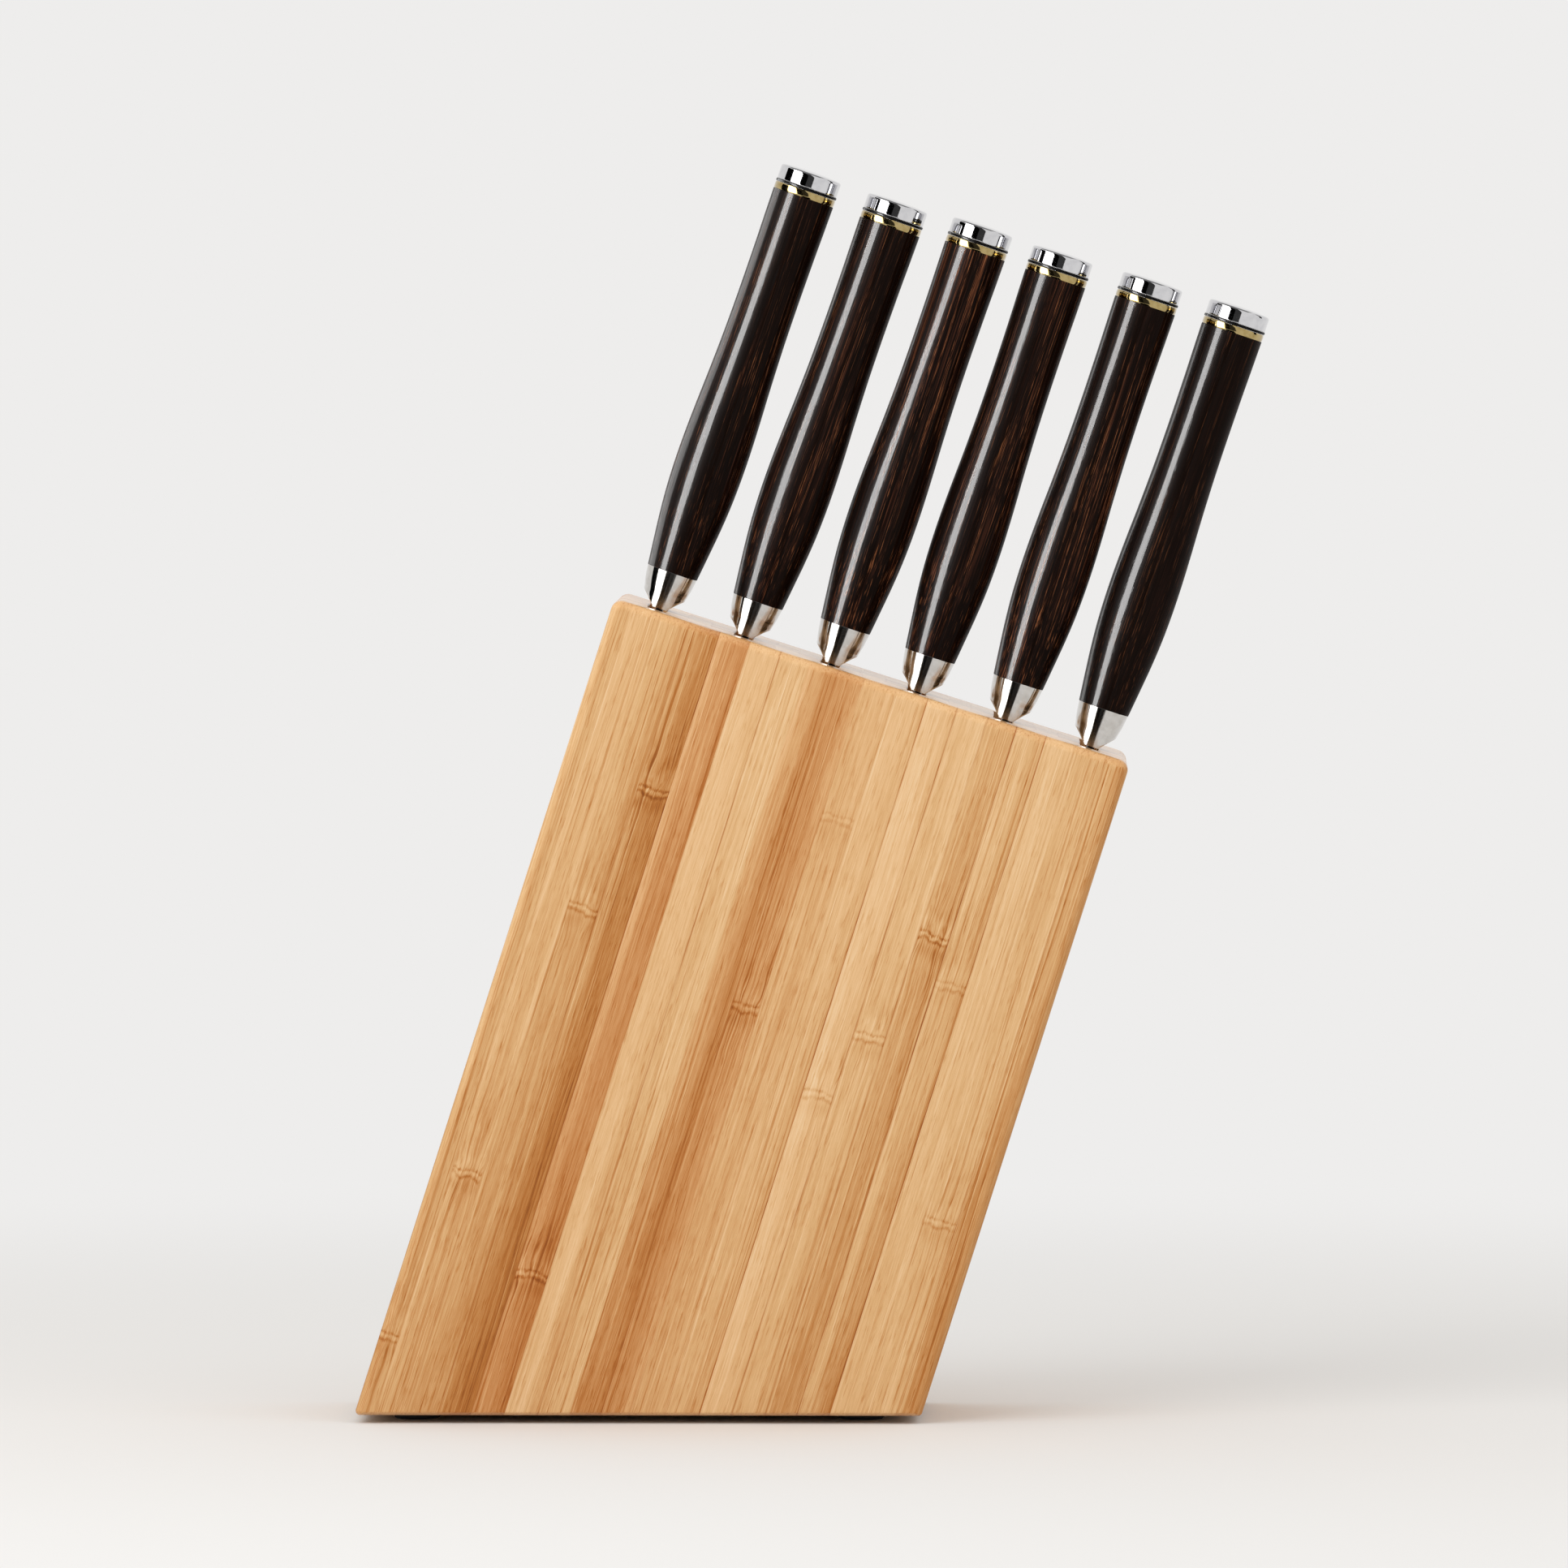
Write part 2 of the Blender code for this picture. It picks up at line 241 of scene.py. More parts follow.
# ------------------------------------------------------------------ materials
def bamboo_material():
    """Laminated bamboo strips under a satin lacquer.

    Mesh attributes, all in millimetres, say where a point is in its strip:
    grain = across, depth, along; lane = from the strip's left edge, to its
    right edge, tone; knot = below its knuckle, knuckle strength, slope;
    seam = darkness of the left and right glue line, cross-cut share;
    kind = seed, pinkness, streakiness.
    """
    n = Nodes("bamboo_strips")
    s, y, t = n.attribute("grain")
    left, right, tone = n.attribute("lane")
    d, knuckle, slope = n.attribute("knot")
    seam_l, seam_r, cross = n.attribute("seam")
    seed, pink, streaky = n.attribute("kind")

    # fibres bend a little round a knuckle
    near = n.mul(knuckle, n.math("EXPONENT", n.mul(n.math("ABSOLUTE", d), -1.0 / 11.0)))
    sway = n.noise(n.xyz(n.mul(s, 0.30), seed, n.mul(t, 0.07)), 1.0)
    slow = n.noise(n.xyz(n.mul(s, 0.08), n.add(seed, 7.0), n.mul(t, 0.012)), 1.0)
    s2 = n.add(s, n.add(n.mul(n.mul(n.sub(sway, 0.5), near), 4.5),
                        n.mul(n.sub(slow, 0.5), 1.2)))

    def fibres(fx, ft, shift, detail=2.0, rough=0.55):
        return n.noise(n.xyz(n.madd(s2, fx, seed), n.mul(y, fx),
                             n.madd(t, ft, shift)), detail, rough)

    broad = fibres(0.33, 0.006, 1.0, 1.0)
    middle = fibres(1.15, 0.016, 11.0, 3.0, 0.6)
    fine = fibres(3.0, 0.075, 23.0)
    dashes = n.ramp(fibres(2.2, 0.16, 43.0, 2.0), 0.56, 0.72)
    hair = fibres(7.5, 0.30, 37.0, 2.0)
    lines = fibres(1.9, 0.010, 51.0, 1.0)
    pale_lines = fibres(2.3, 0.013, 67.0, 1.0)
    pores = fibres(5.2, 0.70, 83.0, 1.0)
    cloudy = n.noise(n.xyz(n.madd(s, 0.22, seed), n.mul(y, 0.2), n.mul(t, 0.05)), 2.0)

    line = n.ramp(lines, 0.61, 0.69)
    pale = n.ramp(pale_lines, 0.60, 0.68)
    pore = n.ramp(pores, 0.66, 0.80)

    # knuckle: two ragged broken lines, with a pale lip above and streaks that
    # draw together over it and spread again below it
    def ragged(across, shift, low=0.35, high=0.62):
        return n.ramp(n.noise(n.xyz(n.madd(s, across, seed), shift, 0.0), 2.0),
                      low, high)

    wave = n.noise(n.xyz(n.madd(s, 0.26, seed), seed, 3.0), 1.0)
    wave2 = n.noise(n.xyz(n.madd(s, 0.85, seed), seed, 9.0), 2.0)
    fray = n.noise(n.xyz(n.mul(s, 2.4), seed, n.mul(t, 1.1)), 2.0)
    dw = n.add(n.add(d, n.mul(n.sub(wave, 0.5), 2.6)),
               n.mul(n.mul(n.sub(left, right), 0.5), slope))
    dw = n.add(dw, n.add(n.mul(n.sub(wave2, 0.5), 1.1), n.mul(n.sub(fray, 0.5), 1.2)))
    gap = n.madd(n.noise(n.xyz(n.madd(s, 0.30, seed), seed, 17.0), 1.0), 3.2, 0.4)
    upper = n.mul(n.bell(dw, 0.0, 0.42), n.madd(ragged(0.55, 4.0), 0.65, 0.30))
    lower = n.mul(n.bell(n.sub(dw, gap), 0.0, 0.55), n.madd(ragged(0.40, 8.0), 0.65, 0.45))
    tuft = n.mul(n.ramp(fibres(1.9, 0.17, 97.0, 3.0, 0.6), 0.50, 0.66),
                 n.math("EXPONENT", n.mul(n.math("ABSOLUTE", dw), -1.0 / 3.4)))
    band = n.add(upper, lower)
    glow = n.add(n.mul(n.bell(dw, 0.8, 0.7), 0.45),
                 n.mul(n.bell(dw, -2.6, 2.4), n.madd(ragged(0.7, 12.0), 0.5, 0.2)))
    under = n.mul(n.bell(dw, 4.6, 2.2), 0.22)
    above = n.mul(n.ramp(d, -36.0, -4.0), n.ramp(d, -2.5, 0.0, 1.0, 0.0))
    below = n.mul(n.ramp(d, 2.0, 4.5), n.ramp(d, 6.0, 34.0, 1.0, 0.0))
    flame = n.ramp(fibres(1.7, 0.032, 91.0, 3.0, 0.6), 0.50, 0.62)
    patch = n.ramp(n.noise(n.xyz(n.madd(s, 0.30, seed), 5.0, n.mul(t, 0.11)), 3.0, 0.6),
                   0.46, 0.64)
    vase = n.ramp(fibres(2.2, 0.020, 103.0, 2.0), 0.56, 0.66)
    knot = n.mul(knuckle, n.sub(
        n.add(n.add(n.add(n.mul(band, 0.85), under), n.mul(tuft, 0.55)),
              n.add(n.mul(n.mul(n.add(n.mul(flame, 0.55), n.mul(patch, 0.30)), above), 0.75),
                    n.mul(n.mul(vase, below), 0.60))),
        n.mul(glow, 0.50)))

    shade = n.add(n.sub(tone, 0.06), n.mul(n.sub(broad, 0.5), 0.55))
    shade = n.add(shade, n.mul(n.mul(n.sub(middle, 0.5), 0.92), streaky))
    shade = n.add(shade, n.mul(dashes, 0.36))
    shade = n.add(shade, n.mul(n.sub(fine, 0.5), 0.82))
    shade = n.add(shade, n.mul(n.sub(hair, 0.5), 0.60))
    shade = n.add(shade, n.mul(n.sub(cloudy, 0.5), 0.22))
    shade = n.add(shade, n.mul(n.mul(line, 0.46), streaky))
    shade = n.sub(shade, n.mul(n.mul(pale, 0.32), streaky))
    shade = n.add(shade, n.mul(pore, 0.30))
    edges = n.add(n.mul(n.bell(left, 0.0, 0.27), n.mul(seam_l, 1.25)),
                  n.mul(n.bell(right, 0.0, 0.27), n.mul(seam_r, 1.25)))
    broken = n.ramp(n.noise(n.xyz(seed, y, n.mul(t, 0.045)), 2.0), 0.32, 0.62, 0.25, 1.25)
    edge_pale = n.mul(n.bell(left, 0.60, 0.22), 0.16)
    shade = n.add(shade, n.sub(n.mul(edges, broken), edge_pale))
    shade = n.add(shade, knot)

    long_colour = n.colours(n.ramp(shade, -0.5, 2.5, smooth=False), [
        (0.00, (232, 203, 163)), (0.167, (222, 183, 136)), (0.283, (211, 168, 117)),
        (0.383, (200, 150, 98)), (0.50, (187, 130, 75)), (0.617, (171, 107, 51)),
        (0.767, (148, 86, 38)), (1.00, (124, 66, 29))])
    long_colour = n.mix(n.mul(pink, 0.5), long_colour, (249, 217, 199), "MULTIPLY")
    # glue lines are a redder brown than the dark fibres
    long_colour = n.mix(n.mul(n.mul(edges, broken), 0.45), long_colour, (160, 92, 50))

    # cross-cut ends: the cut fibre bundles show as dots
    bundle = n.cells(n.xyz(n.madd(s, 1.45, seed), n.mul(y, 1.45), seed))
    sheaf = n.cells(n.xyz(n.madd(s, 3.1, seed), n.mul(y, 3.1), 5.0))
    dots = n.add(n.ramp(bundle, 0.10, 0.42, 1.0, 0.0),
                 n.mul(n.ramp(sheaf, 0.10, 0.40, 1.0, 0.0), 0.35))
    mottle = n.noise(n.xyz(n.madd(s, 0.5, seed), n.mul(y, 0.5), 9.0), 2.0)
    end_shade = n.add(n.add(n.mul(tone, 0.6), n.mul(dots, 0.62)),
                      n.madd(mottle, 0.5, -0.12))
    end_shade = n.add(end_shade, n.mul(edges, 0.8))
    end_colour = n.colours(n.ramp(end_shade, -0.5, 2.5, smooth=False), [
        (0.00, (232, 198, 152)), (0.20, (220, 178, 126)), (0.35, (206, 155, 100)),
        (0.50, (184, 125, 72)), (0.70, (154, 91, 46)), (1.00, (110, 58, 27))])

    colour = n.mix(cross, long_colour, end_colour)
    height = n.add(n.mul(fine, 0.5), n.add(n.mul(hair, 0.3), n.mul(edges, -0.9)))
    height = n.sub(height, n.mul(n.mul(knuckle, band), 0.35))
    gloss = n.add(n.ramp(fine, 0.3, 0.7, 0.30, 0.42), n.mul(pore, 0.08))
    return n.set(colour=colour, rough=gloss, metal=0.0, ior=1.46,
                 specular=n.madd(cross, 0.50, 0.08), normal=n.bump(height, 0.16, 0.0001),
                 coat=n.mul(cross, 0.68), coat_rough=0.16, coat_ior=1.5)


def handle_material(index, warmth):
    """Near-black laminated hardwood, polished, with red-brown streaks."""
    n = Nodes("handle_wood_%d" % index)
    x, y, z = n.local_xyz()
    k = 31.7 * index
    xs = n.madd(z, 0.012 * (1 if index % 2 else -1), x)

    def fibres(fx, fz, shift, detail=2.0, rough=0.55):
        return n.noise(n.xyz(n.madd(xs, fx, k), n.mul(y, fx * 0.55),
                             n.madd(z, fz, shift)), detail, rough)

    patch = n.ramp(fibres(0.20, 0.014, 3.0, 1.0), 0.36, 0.64)
    broad = n.ramp(fibres(0.85, 0.006, 13.0, 1.0), 0.46, 0.66)
    streak = n.ramp(fibres(1.9, 0.006, 19.0, 1.0), 0.52, 0.66)
    thin = n.ramp(fibres(3.6, 0.008, 29.0, 1.0), 0.54, 0.68)
    grain = n.ramp(fibres(3.8, 0.30, 71.0, 2.0), 0.34, 0.62)
    spark = n.mul(n.ramp(fibres(3.2, 0.009, 43.0, 2.0), 0.57, 0.68), grain)
    pore = n.ramp(fibres(3.0, 0.12, 59.0, 2.0), 0.54, 0.70)
    warm = n.add(n.mul(streak, n.madd(patch, 0.36, 0.12)),
                 n.add(n.mul(n.mul(thin, n.madd(grain, 0.6, 0.5)), n.madd(patch, 0.30, 0.16)),
                       n.mul(broad, n.madd(patch, 0.20, 0.06))))
    colour = n.colours(n.mul(warm, warmth), [
        (0.0, (14, 5, 2)), (0.20, (26, 12, 7)), (0.45, (56, 30, 19)),
        (0.70, (98, 57, 36)), (1.0, (146, 92, 60))])
    colour = n.mix(n.mul(n.mul(spark, n.madd(patch, 0.50, 0.30)), warmth), colour,
                   (158, 98, 62))
    colour = n.mix(n.mul(pore, 0.65), colour, (8, 4, 3))
    height = n.sub(n.mul(thin, 0.4), n.mul(pore, 0.7))
    fine = n.bump(height, 0.10, 0.00006)
    return n.set(colour=colour, rough=n.ramp(pore, 0.0, 1.0, 0.42, 0.60), metal=0.0,
                 ior=1.45, specular=0.01, coat=0.07, coat_rough=0.045, coat_ior=1.5,
                 normal=fine, coat_normal=n.bump(height, 0.10, 0.00005))


def metal_material(name, rgb, rough, grain, strength, depth, tint, spots, brushed=0.0):
    """Metal with fine turning lines round the knife's axis and light wear."""
    n = Nodes(name)
    x, y, z = n.local_xyz()
    rings = n.noise(n.xyz(n.mul(x, 0.10), n.mul(y, 0.10), n.mul(z, grain)), 2.0, 0.6)
    wear = n.noise(n.xyz(n.mul(x, 0.5), n.mul(y, 0.5), n.mul(z, 0.5)), 3.0, 0.6)
    scuff = n.ramp(n.noise(n.xyz(n.mul(x, 2.8), n.mul(y, 2.8), n.mul(z, 2.2)), 3.0),
                   0.58, 0.75)
    colour = n.mix(n.ramp(wear, 0.35, 0.75), rgb, tint)
    gloss = n.add(n.ramp(rings, 0.3, 0.7, rough * 0.75, rough * 1.3),
                  n.mul(scuff, spots))
    n.set(colour=colour, rough=gloss, metal=1.0, normal=n.bump(rings, strength, depth))
    if brushed:
        # turned round the axis, so reflections are drawn out along it
        lean = math.radians(18.9)
        n.set(aniso=brushed, tangent=n.xyz(math.sin(lean), 0.0, math.cos(lean)))
    return n.mat


def blade_material():
    """Ground steel: lines run across the blade from spine to edge."""
    n = Nodes("blade_satin")
    x, y, z = n.local_xyz()
    lines = n.noise(n.xyz(n.mul(x, 0.3), n.mul(y, 0.05), n.mul(z, 7.0)), 2.0, 0.6)
    broad = n.noise(n.xyz(0.0, n.mul(y, 0.02), n.mul(z, 0.35)), 2.0)
    wear = n.noise(n.xyz(n.mul(x, 0.2), n.mul(y, 0.2), n.mul(z, 0.2)), 3.0)
    colour = n.mix(n.ramp(broad, 0.3, 0.7), (203, 204, 206), (184, 185, 188))
    colour = n.mix(n.mul(n.ramp(wear, 0.45, 0.75), 0.35), colour, (168, 168, 170))
    return n.set(colour=colour, rough=n.ramp(lines, 0.3, 0.7, 0.20, 0.36), metal=1.0,
                 normal=n.bump(lines, 0.12, 0.00003))


def black_material(name, rgb, rough, grain, lacquer=0.0):
    """Black plastic or rubber with a fine moulded skin."""
    n = Nodes(name)
    x, y, z = n.local_xyz()
    skin_n = n.noise(n.xyz(n.mul(x, grain), n.mul(y, grain), n.mul(z, grain)), 3.0)
    dust = n.ramp(n.noise(n.xyz(n.mul(x, 0.4), n.mul(y, 0.4), n.mul(z, 0.4)), 3.0),
                  0.45, 0.8)
    colour = n.mix(n.mul(dust, 0.5), rgb, tuple(c + 16 for c in rgb))
    n.set(colour=colour, rough=n.ramp(skin_n, 0.3, 0.7, rough - 0.08, rough + 0.1),
          metal=0.0, normal=n.bump(skin_n, 0.25, 0.00005))
    if lacquer:
        n.set(specular=0.02, coat=lacquer, coat_rough=0.06, coat_ior=1.5)
    return n.mat


BAMBOO = bamboo_material()
HANDLES = [handle_material(i + 1, row[9]) for i, row in enumerate(KNIVES)]
BOLSTER = metal_material("bolster_steel", (212, 209, 205), 0.12, 6.0, 0.10, 0.00002,
                         (198, 194, 189), 0.03, 0.85)
CAP = metal_material("cap_steel", (220, 220, 222), 0.05, 4.0, 0.01, 0.00001,
                     (208, 208, 211), 0.02)
BRASS = metal_material("brass_polished", (188, 168, 118), 0.085, 5.0, 0.02, 0.00001,
                       (164, 140, 86), 0.03)
SCREW = metal_material("screw_steel", (176, 176, 178), 0.28, 4.0, 0.10, 0.00004,
                       (150, 150, 152), 0.12)
BLADE = blade_material()
SPACER = black_material("spacer_black", (12, 11, 11), 0.34, 3.0, 0.07)
RUBBER = black_material("foot_rubber", (30, 29, 28), 0.72, 5.0)


# ------------------------------------------------------------------ mesh helpers
def make(name, verts, faces, mats, body, nodes, matrix=None, smooth=32.0,
         weighted=False):
    """A finished piece from points in millimetres."""
    mesh = bpy.data.meshes.new(name)
    mesh.from_pydata([Vector(v) * MM for v in verts], [], faces)
    mesh.validate()
    mesh.update()
    return finish_piece(name, mesh, mats, body, nodes, matrix, smooth, weighted)


def finish_piece(name, mesh, mats, body, nodes, matrix=None, smooth=32.0,
                 weighted=False):
    if matrix is not None:
        att = mesh.attributes.new("local", "FLOAT_VECTOR", "POINT")
        att.data.foreach_set("vector", [c / MM for v in mesh.vertices for c in v.co])
        mesh.transform(matrix)
    mesh.shade_smooth()
    mesh.set_sharp_from_angle(angle=math.radians(smooth))
    for m in (mats if isinstance(mats, list) else [mats]):
        mesh.materials.append(m)
    obj = bpy.data.objects.new(name, mesh)
    bpy.context.scene.collection.objects.link(obj)
    if weighted:
        mod = obj.modifiers.new("flat_faces", "WEIGHTED_NORMAL")
        mod.weight = 100
        mod.keep_sharp = True
    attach(obj, body)
    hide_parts(*nodes)
    return obj


def skin(loops, closed=False, caps=True, start=0):
    """Faces over loops of equal length; closed joins the last to the first."""
    n = len(loops[0])
    verts = [p for loop in loops for p in loop]
    faces = []
    spans = len(loops) if closed else len(loops) - 1
    for k in range(spans):
        a, b = start + k * n, start + ((k + 1) % len(loops)) * n
        for i in range(n):
            j = (i + 1) % n
            faces.append((a + i, a + j, b + j, b + i))
    if not closed and caps:
        faces.append(tuple(start + i for i in reversed(range(n))))
        last = start + (len(loops) - 1) * n
        faces.append(tuple(range(last, last + n)))
    return verts, faces


def oval(a, b, z, n=64, power=OVAL):
    pts = []
    for i in range(n):
        t = 2.0 * math.pi * i / n
        c, s = math.cos(t), math.sin(t)
        x = math.copysign(abs(c) ** (2.0 / power), c) * a if abs(c) > 1e-9 else 0.0
        y = math.copysign(abs(s) ** (2.0 / power), s) * b if abs(s) > 1e-9 else 0.0
        pts.append((x, y, z))
    return pts


def slot_ring(hx, hy, z, n=64):
    pts = []
    for i in range(n):
        t = 2.0 * math.pi * i / n
        c, s = math.cos(t), math.sin(t)
        k = 1.0 / max(abs(c), abs(s))
        pts.append((hx * c * k, hy * s * k, z))
    return pts


def circle(r, z, n=48, cx=0.0, cy=0.0):
    return [(cx + r * math.cos(2 * math.pi * i / n),
             cy + r * math.sin(2 * math.pi * i / n), z) for i in range(n)]


def carved(mesh, cutters):
    """The mesh with solids, given as points in millimetres and faces, cut away."""
    verts, faces = [], []
    for points, polygons in cutters:
        faces += [tuple(i + len(verts) for i in poly) for poly in polygons]
        verts += points
    tool_mesh = bpy.data.meshes.new("cutter")
    tool_mesh.from_pydata([Vector(v) * MM for v in verts], [], faces)
    body = bpy.data.objects.new("carving", mesh)
    tool = bpy.data.objects.new("cutter", tool_mesh)
    for obj in (body, tool):
        bpy.context.scene.collection.objects.link(obj)
    cut = body.modifiers.new("cut", "BOOLEAN")
    cut.operation, cut.object, cut.solver = "DIFFERENCE", tool, "EXACT"
    cut.use_self = True
    bpy.context.view_layer.update()
    graph = bpy.context.evaluated_depsgraph_get()
    done = bpy.data.meshes.new_from_object(body.evaluated_get(graph))
    bpy.data.objects.remove(body, do_unlink=True)
    bpy.data.objects.remove(tool, do_unlink=True)
    return done


def spline(rows, count):
    """Smooth rows of numbers, the first of each row rising; Hermite steps."""
    xs = [r[0] for r in rows]
    width = len(rows[0])
    slopes = []
    for i in range(len(rows)):
        row = []
        for c in range(1, width):
            if i == 0:
                g = (rows[1][c] - rows[0][c]) / (xs[1] - xs[0])
            elif i == len(rows) - 1:
                g = (rows[-1][c] - rows[-2][c]) / (xs[-1] - xs[-2])
            else:
                g0 = (rows[i][c] - rows[i - 1][c]) / (xs[i] - xs[i - 1])
                g1 = (rows[i + 1][c] - rows[i][c]) / (xs[i + 1] - xs[i])
                w0, w1 = xs[i + 1] - xs[i], xs[i] - xs[i - 1]
                g = (g0 * w0 + g1 * w1) / (w0 + w1)
            row.append(g)
        slopes.append(row)
    out = []
    for k in range(count + 1):
        x = xs[0] + (xs[-1] - xs[0]) * k / count
        i = max(j for j in range(len(xs) - 1) if xs[j] <= x + 1e-9)
        h = xs[i + 1] - xs[i]
        t = (x - xs[i]) / h
        row = [x]
        for c in range(1, width):
            p0, p1 = rows[i][c], rows[i + 1][c]
            m0, m1 = slopes[i][c - 1] * h, slopes[i + 1][c - 1] * h
            row.append((2 * t ** 3 - 3 * t ** 2 + 1) * p0 + (t ** 3 - 2 * t ** 2 + t) * m0
                       + (-2 * t ** 3 + 3 * t ** 2) * p1 + (t ** 3 - t ** 2) * m1)
        out.append(tuple(row))
    return out


def rounded(points, radii, segments):
    out = []
    n = len(points)
    for i, p in enumerate(points):
        p = Vector(p)
        a = (Vector(points[i - 1]) - p).normalized()
        b = (Vector(points[(i + 1) % n]) - p).normalized()
        r = radii[i]
        if r <= 0.0:
            out.append((p.x, p.y))
            continue
        half = a.angle(b) / 2.0
        d = r / math.tan(half)
        centre = p + (a + b).normalized() * (r / math.sin(half))
        start, end = p + a * d - centre, p + b * d - centre
        sweep = math.pi - 2.0 * half
        turn = 1.0 if start.x * end.y - start.y * end.x > 0 else -1.0
        ang = math.atan2(start.y, start.x)
        for k in range(segments[i] + 1):
            t = ang + turn * sweep * k / segments[i]
            out.append((centre.x + r * math.cos(t), centre.y + r * math.sin(t)))
    return out


# ------------------------------------------------------------------ bamboo strips
# width, tone left/middle/right at the top, the same at the bottom, pinkness,
# streakiness, dark line on the left edge, on the right edge
FRONT = [
    (5.33, 0.20, 0.42, 0.35, 0.62, 0.68, 0.6, 0.0, 0.8, 0.0, 0.15),
    (8.39, 0.26, 0.26, 0.30, 0.45, 0.7, 0.6, 0.1, 0.9, 0.05, 0.15),
    (8.62, 0.36, 0.50, 0.62, 0.7, 0.8, 0.85, 0.0, 0.8, 0.1, 0.35),
    (8.84, 0.72, 1.02, 1.08, 1.0, 1.40, 1.40, 0.0, 1.1, 0.15, 0.35),
    (8.84, 0.32, 0.64, 0.86, 0.75, 0.95, 1.15, 0.7, 1.0, 0.0, 0.15),
    (8.85, 0.10, 0.02, 0.14, 0.35, 0.28, 0.50, 0.1, 0.6, 0.1, 0.2),
    (8.61, 0.26, 0.16, 0.16, 0.55, 0.45, 0.4, 0.0, 0.9, 0.55, 0.1),
    (8.39, 0.24, 0.54, 0.80, 0.95, 1.05, 1.3, 0.4, 0.8, 0.0, 0.2),
    (7.71, 0.86, 0.74, 0.58, 1.0, 0.75, 0.6, 0.5, 1.0, 0.1, 0.1),
    (9.30, 0.26, 0.40, 0.32, 0.6, 0.6, 0.5, 0.2, 0.7, 0.1, 0.1),
    (9.30, 0.18, 0.18, 0.28, 0.45, 0.45, 0.75, 0.1, 0.9, 0.05, 0.75),
    (8.61, -0.04, 0.02, 0.22, 0.22, 0.26, 0.3, 0.1, 0.6, 0.0, 0.65),
    (8.85, 0.16, 0.14, 0.14, 0.45, 0.45, 0.6, 0.0, 0.6, 0.15, 0.45),
    (8.61, 0.42, 0.54, 0.60, 0.72, 0.78, 0.86, 0.0, 1.0, 0.25, 0.85),
    (8.62, 0.26, 0.32, 0.48, 0.5, 0.7, 1.1, 0.0, 0.9, 0.2, 0.7),
    (8.39, 0.16, 0.12, 0.12, 0.38, 0.38, 0.3, 0.0, 0.7, 0.0, 0.2),
    (9.30, 0.34, 0.42, 0.36, 0.42, 0.4, 0.4, 0.0, 0.9, 0.1, 0.35),
    (6.84, 0.58, 0.62, 0.76, 1.0, 1.0, 0.95, 0.0, 1.1, 0.1, 0.0),
]
# strip number: knuckle's distance down from the top, strength, slope
FRONT_KNOTS = {0: (215.4, 0.8, 0.05), 1: (165.1, 0.8, 0.02), 2: (84.6, 0.75, -0.05),
               3: (47.6, 1.0, 0.03), 4: (186.8, 0.9, 0.0), 8: (97.1, 0.8, 0.02),
               9: (39.2, 0.35, 0.0), 11: (114.1, 0.6, 0.06), 12: (94.6, 0.7, 0.10),
               13: (62.8, 1.0, -0.08), 14: (74.1, 0.45, 0.0), 16: (138.1, 0.6, 0.04)}


def chance(*key):
    k = 17
    for v in key:
        k = (k * 7919 + int(v) * 104729 + 13) % 2147483647
    return random.Random(k)


class Strip:
    """One strip of a lamination: its edges, tones and knuckle."""

    def __init__(self, lo, hi, key, row=None, knot=None):
        rng = chance(*key)
        self.lo, self.hi = lo, hi
        self.seed = rng.uniform(0.0, 300.0)
        if row is None:
            base = rng.choice([0.08, 0.15, 0.25, 0.35, 0.45, 0.6, 0.85])
            tilt = rng.uniform(-0.25, 0.25)
            fall = rng.uniform(0.0, 0.3)
            row = (0, base - tilt, base, base + tilt, base - tilt + fall,
                   base + fall, base + tilt + fall, rng.uniform(0.0, 0.4),
                   rng.uniform(0.6, 1.1), rng.uniform(0.0, 0.4), rng.uniform(0.0, 0.4))
            if rng.random() < 0.62:
                knot = (rng.uniform(20.0, 230.0), rng.uniform(0.4, 1.1),
                        rng.uniform(-0.08, 0.08))
        self.row = row
        self.knot = knot or (-900.0, 0.0, 0.0)

    def tone(self, across, along):
        """Tone between the three across, from the top's to the bottom's."""
        u = (across - self.lo) / (self.hi - self.lo)
        w = max(0.0, min(1.0, (along - 15.0) / 200.0))
        stops = []
        for i in range(3):
            stops.append(self.row[1 + i] * (1 - w) + self.row[4 + i] * w)
        if u < 0.17:
            return stops[0]
        if u < 0.5:
            return stops[0] + (stops[1] - stops[0]) * (u - 0.17) / 0.33
        if u < 0.83:
            return stops[1] + (stops[2] - stops[1]) * (u - 0.5) / 0.33
        return stops[2]


def strips_of(edges, key, rows=None, knots=None):
    out = []
    for i in range(len(edges) - 1):
        row = rows[i] if rows else None
        knot = (knots or {}).get(i)
        out.append(Strip(edges[i], edges[i + 1], (*key, i), row, knot))
    return out


def even_edges(lo, hi, count, key, wobble=0.06):
    rng = chance(*key)
    step = (hi - lo) / count
    return [lo] + [lo + step * (i + rng.uniform(-wobble, wobble))
                   for i in range(1, count)] + [hi]


def local(p):
    """Across, depth and distance down from the top of a point in metres."""
    q = p / MM - TOP_LEFT
    return q.dot(U), p.y / MM, -q.dot(V)


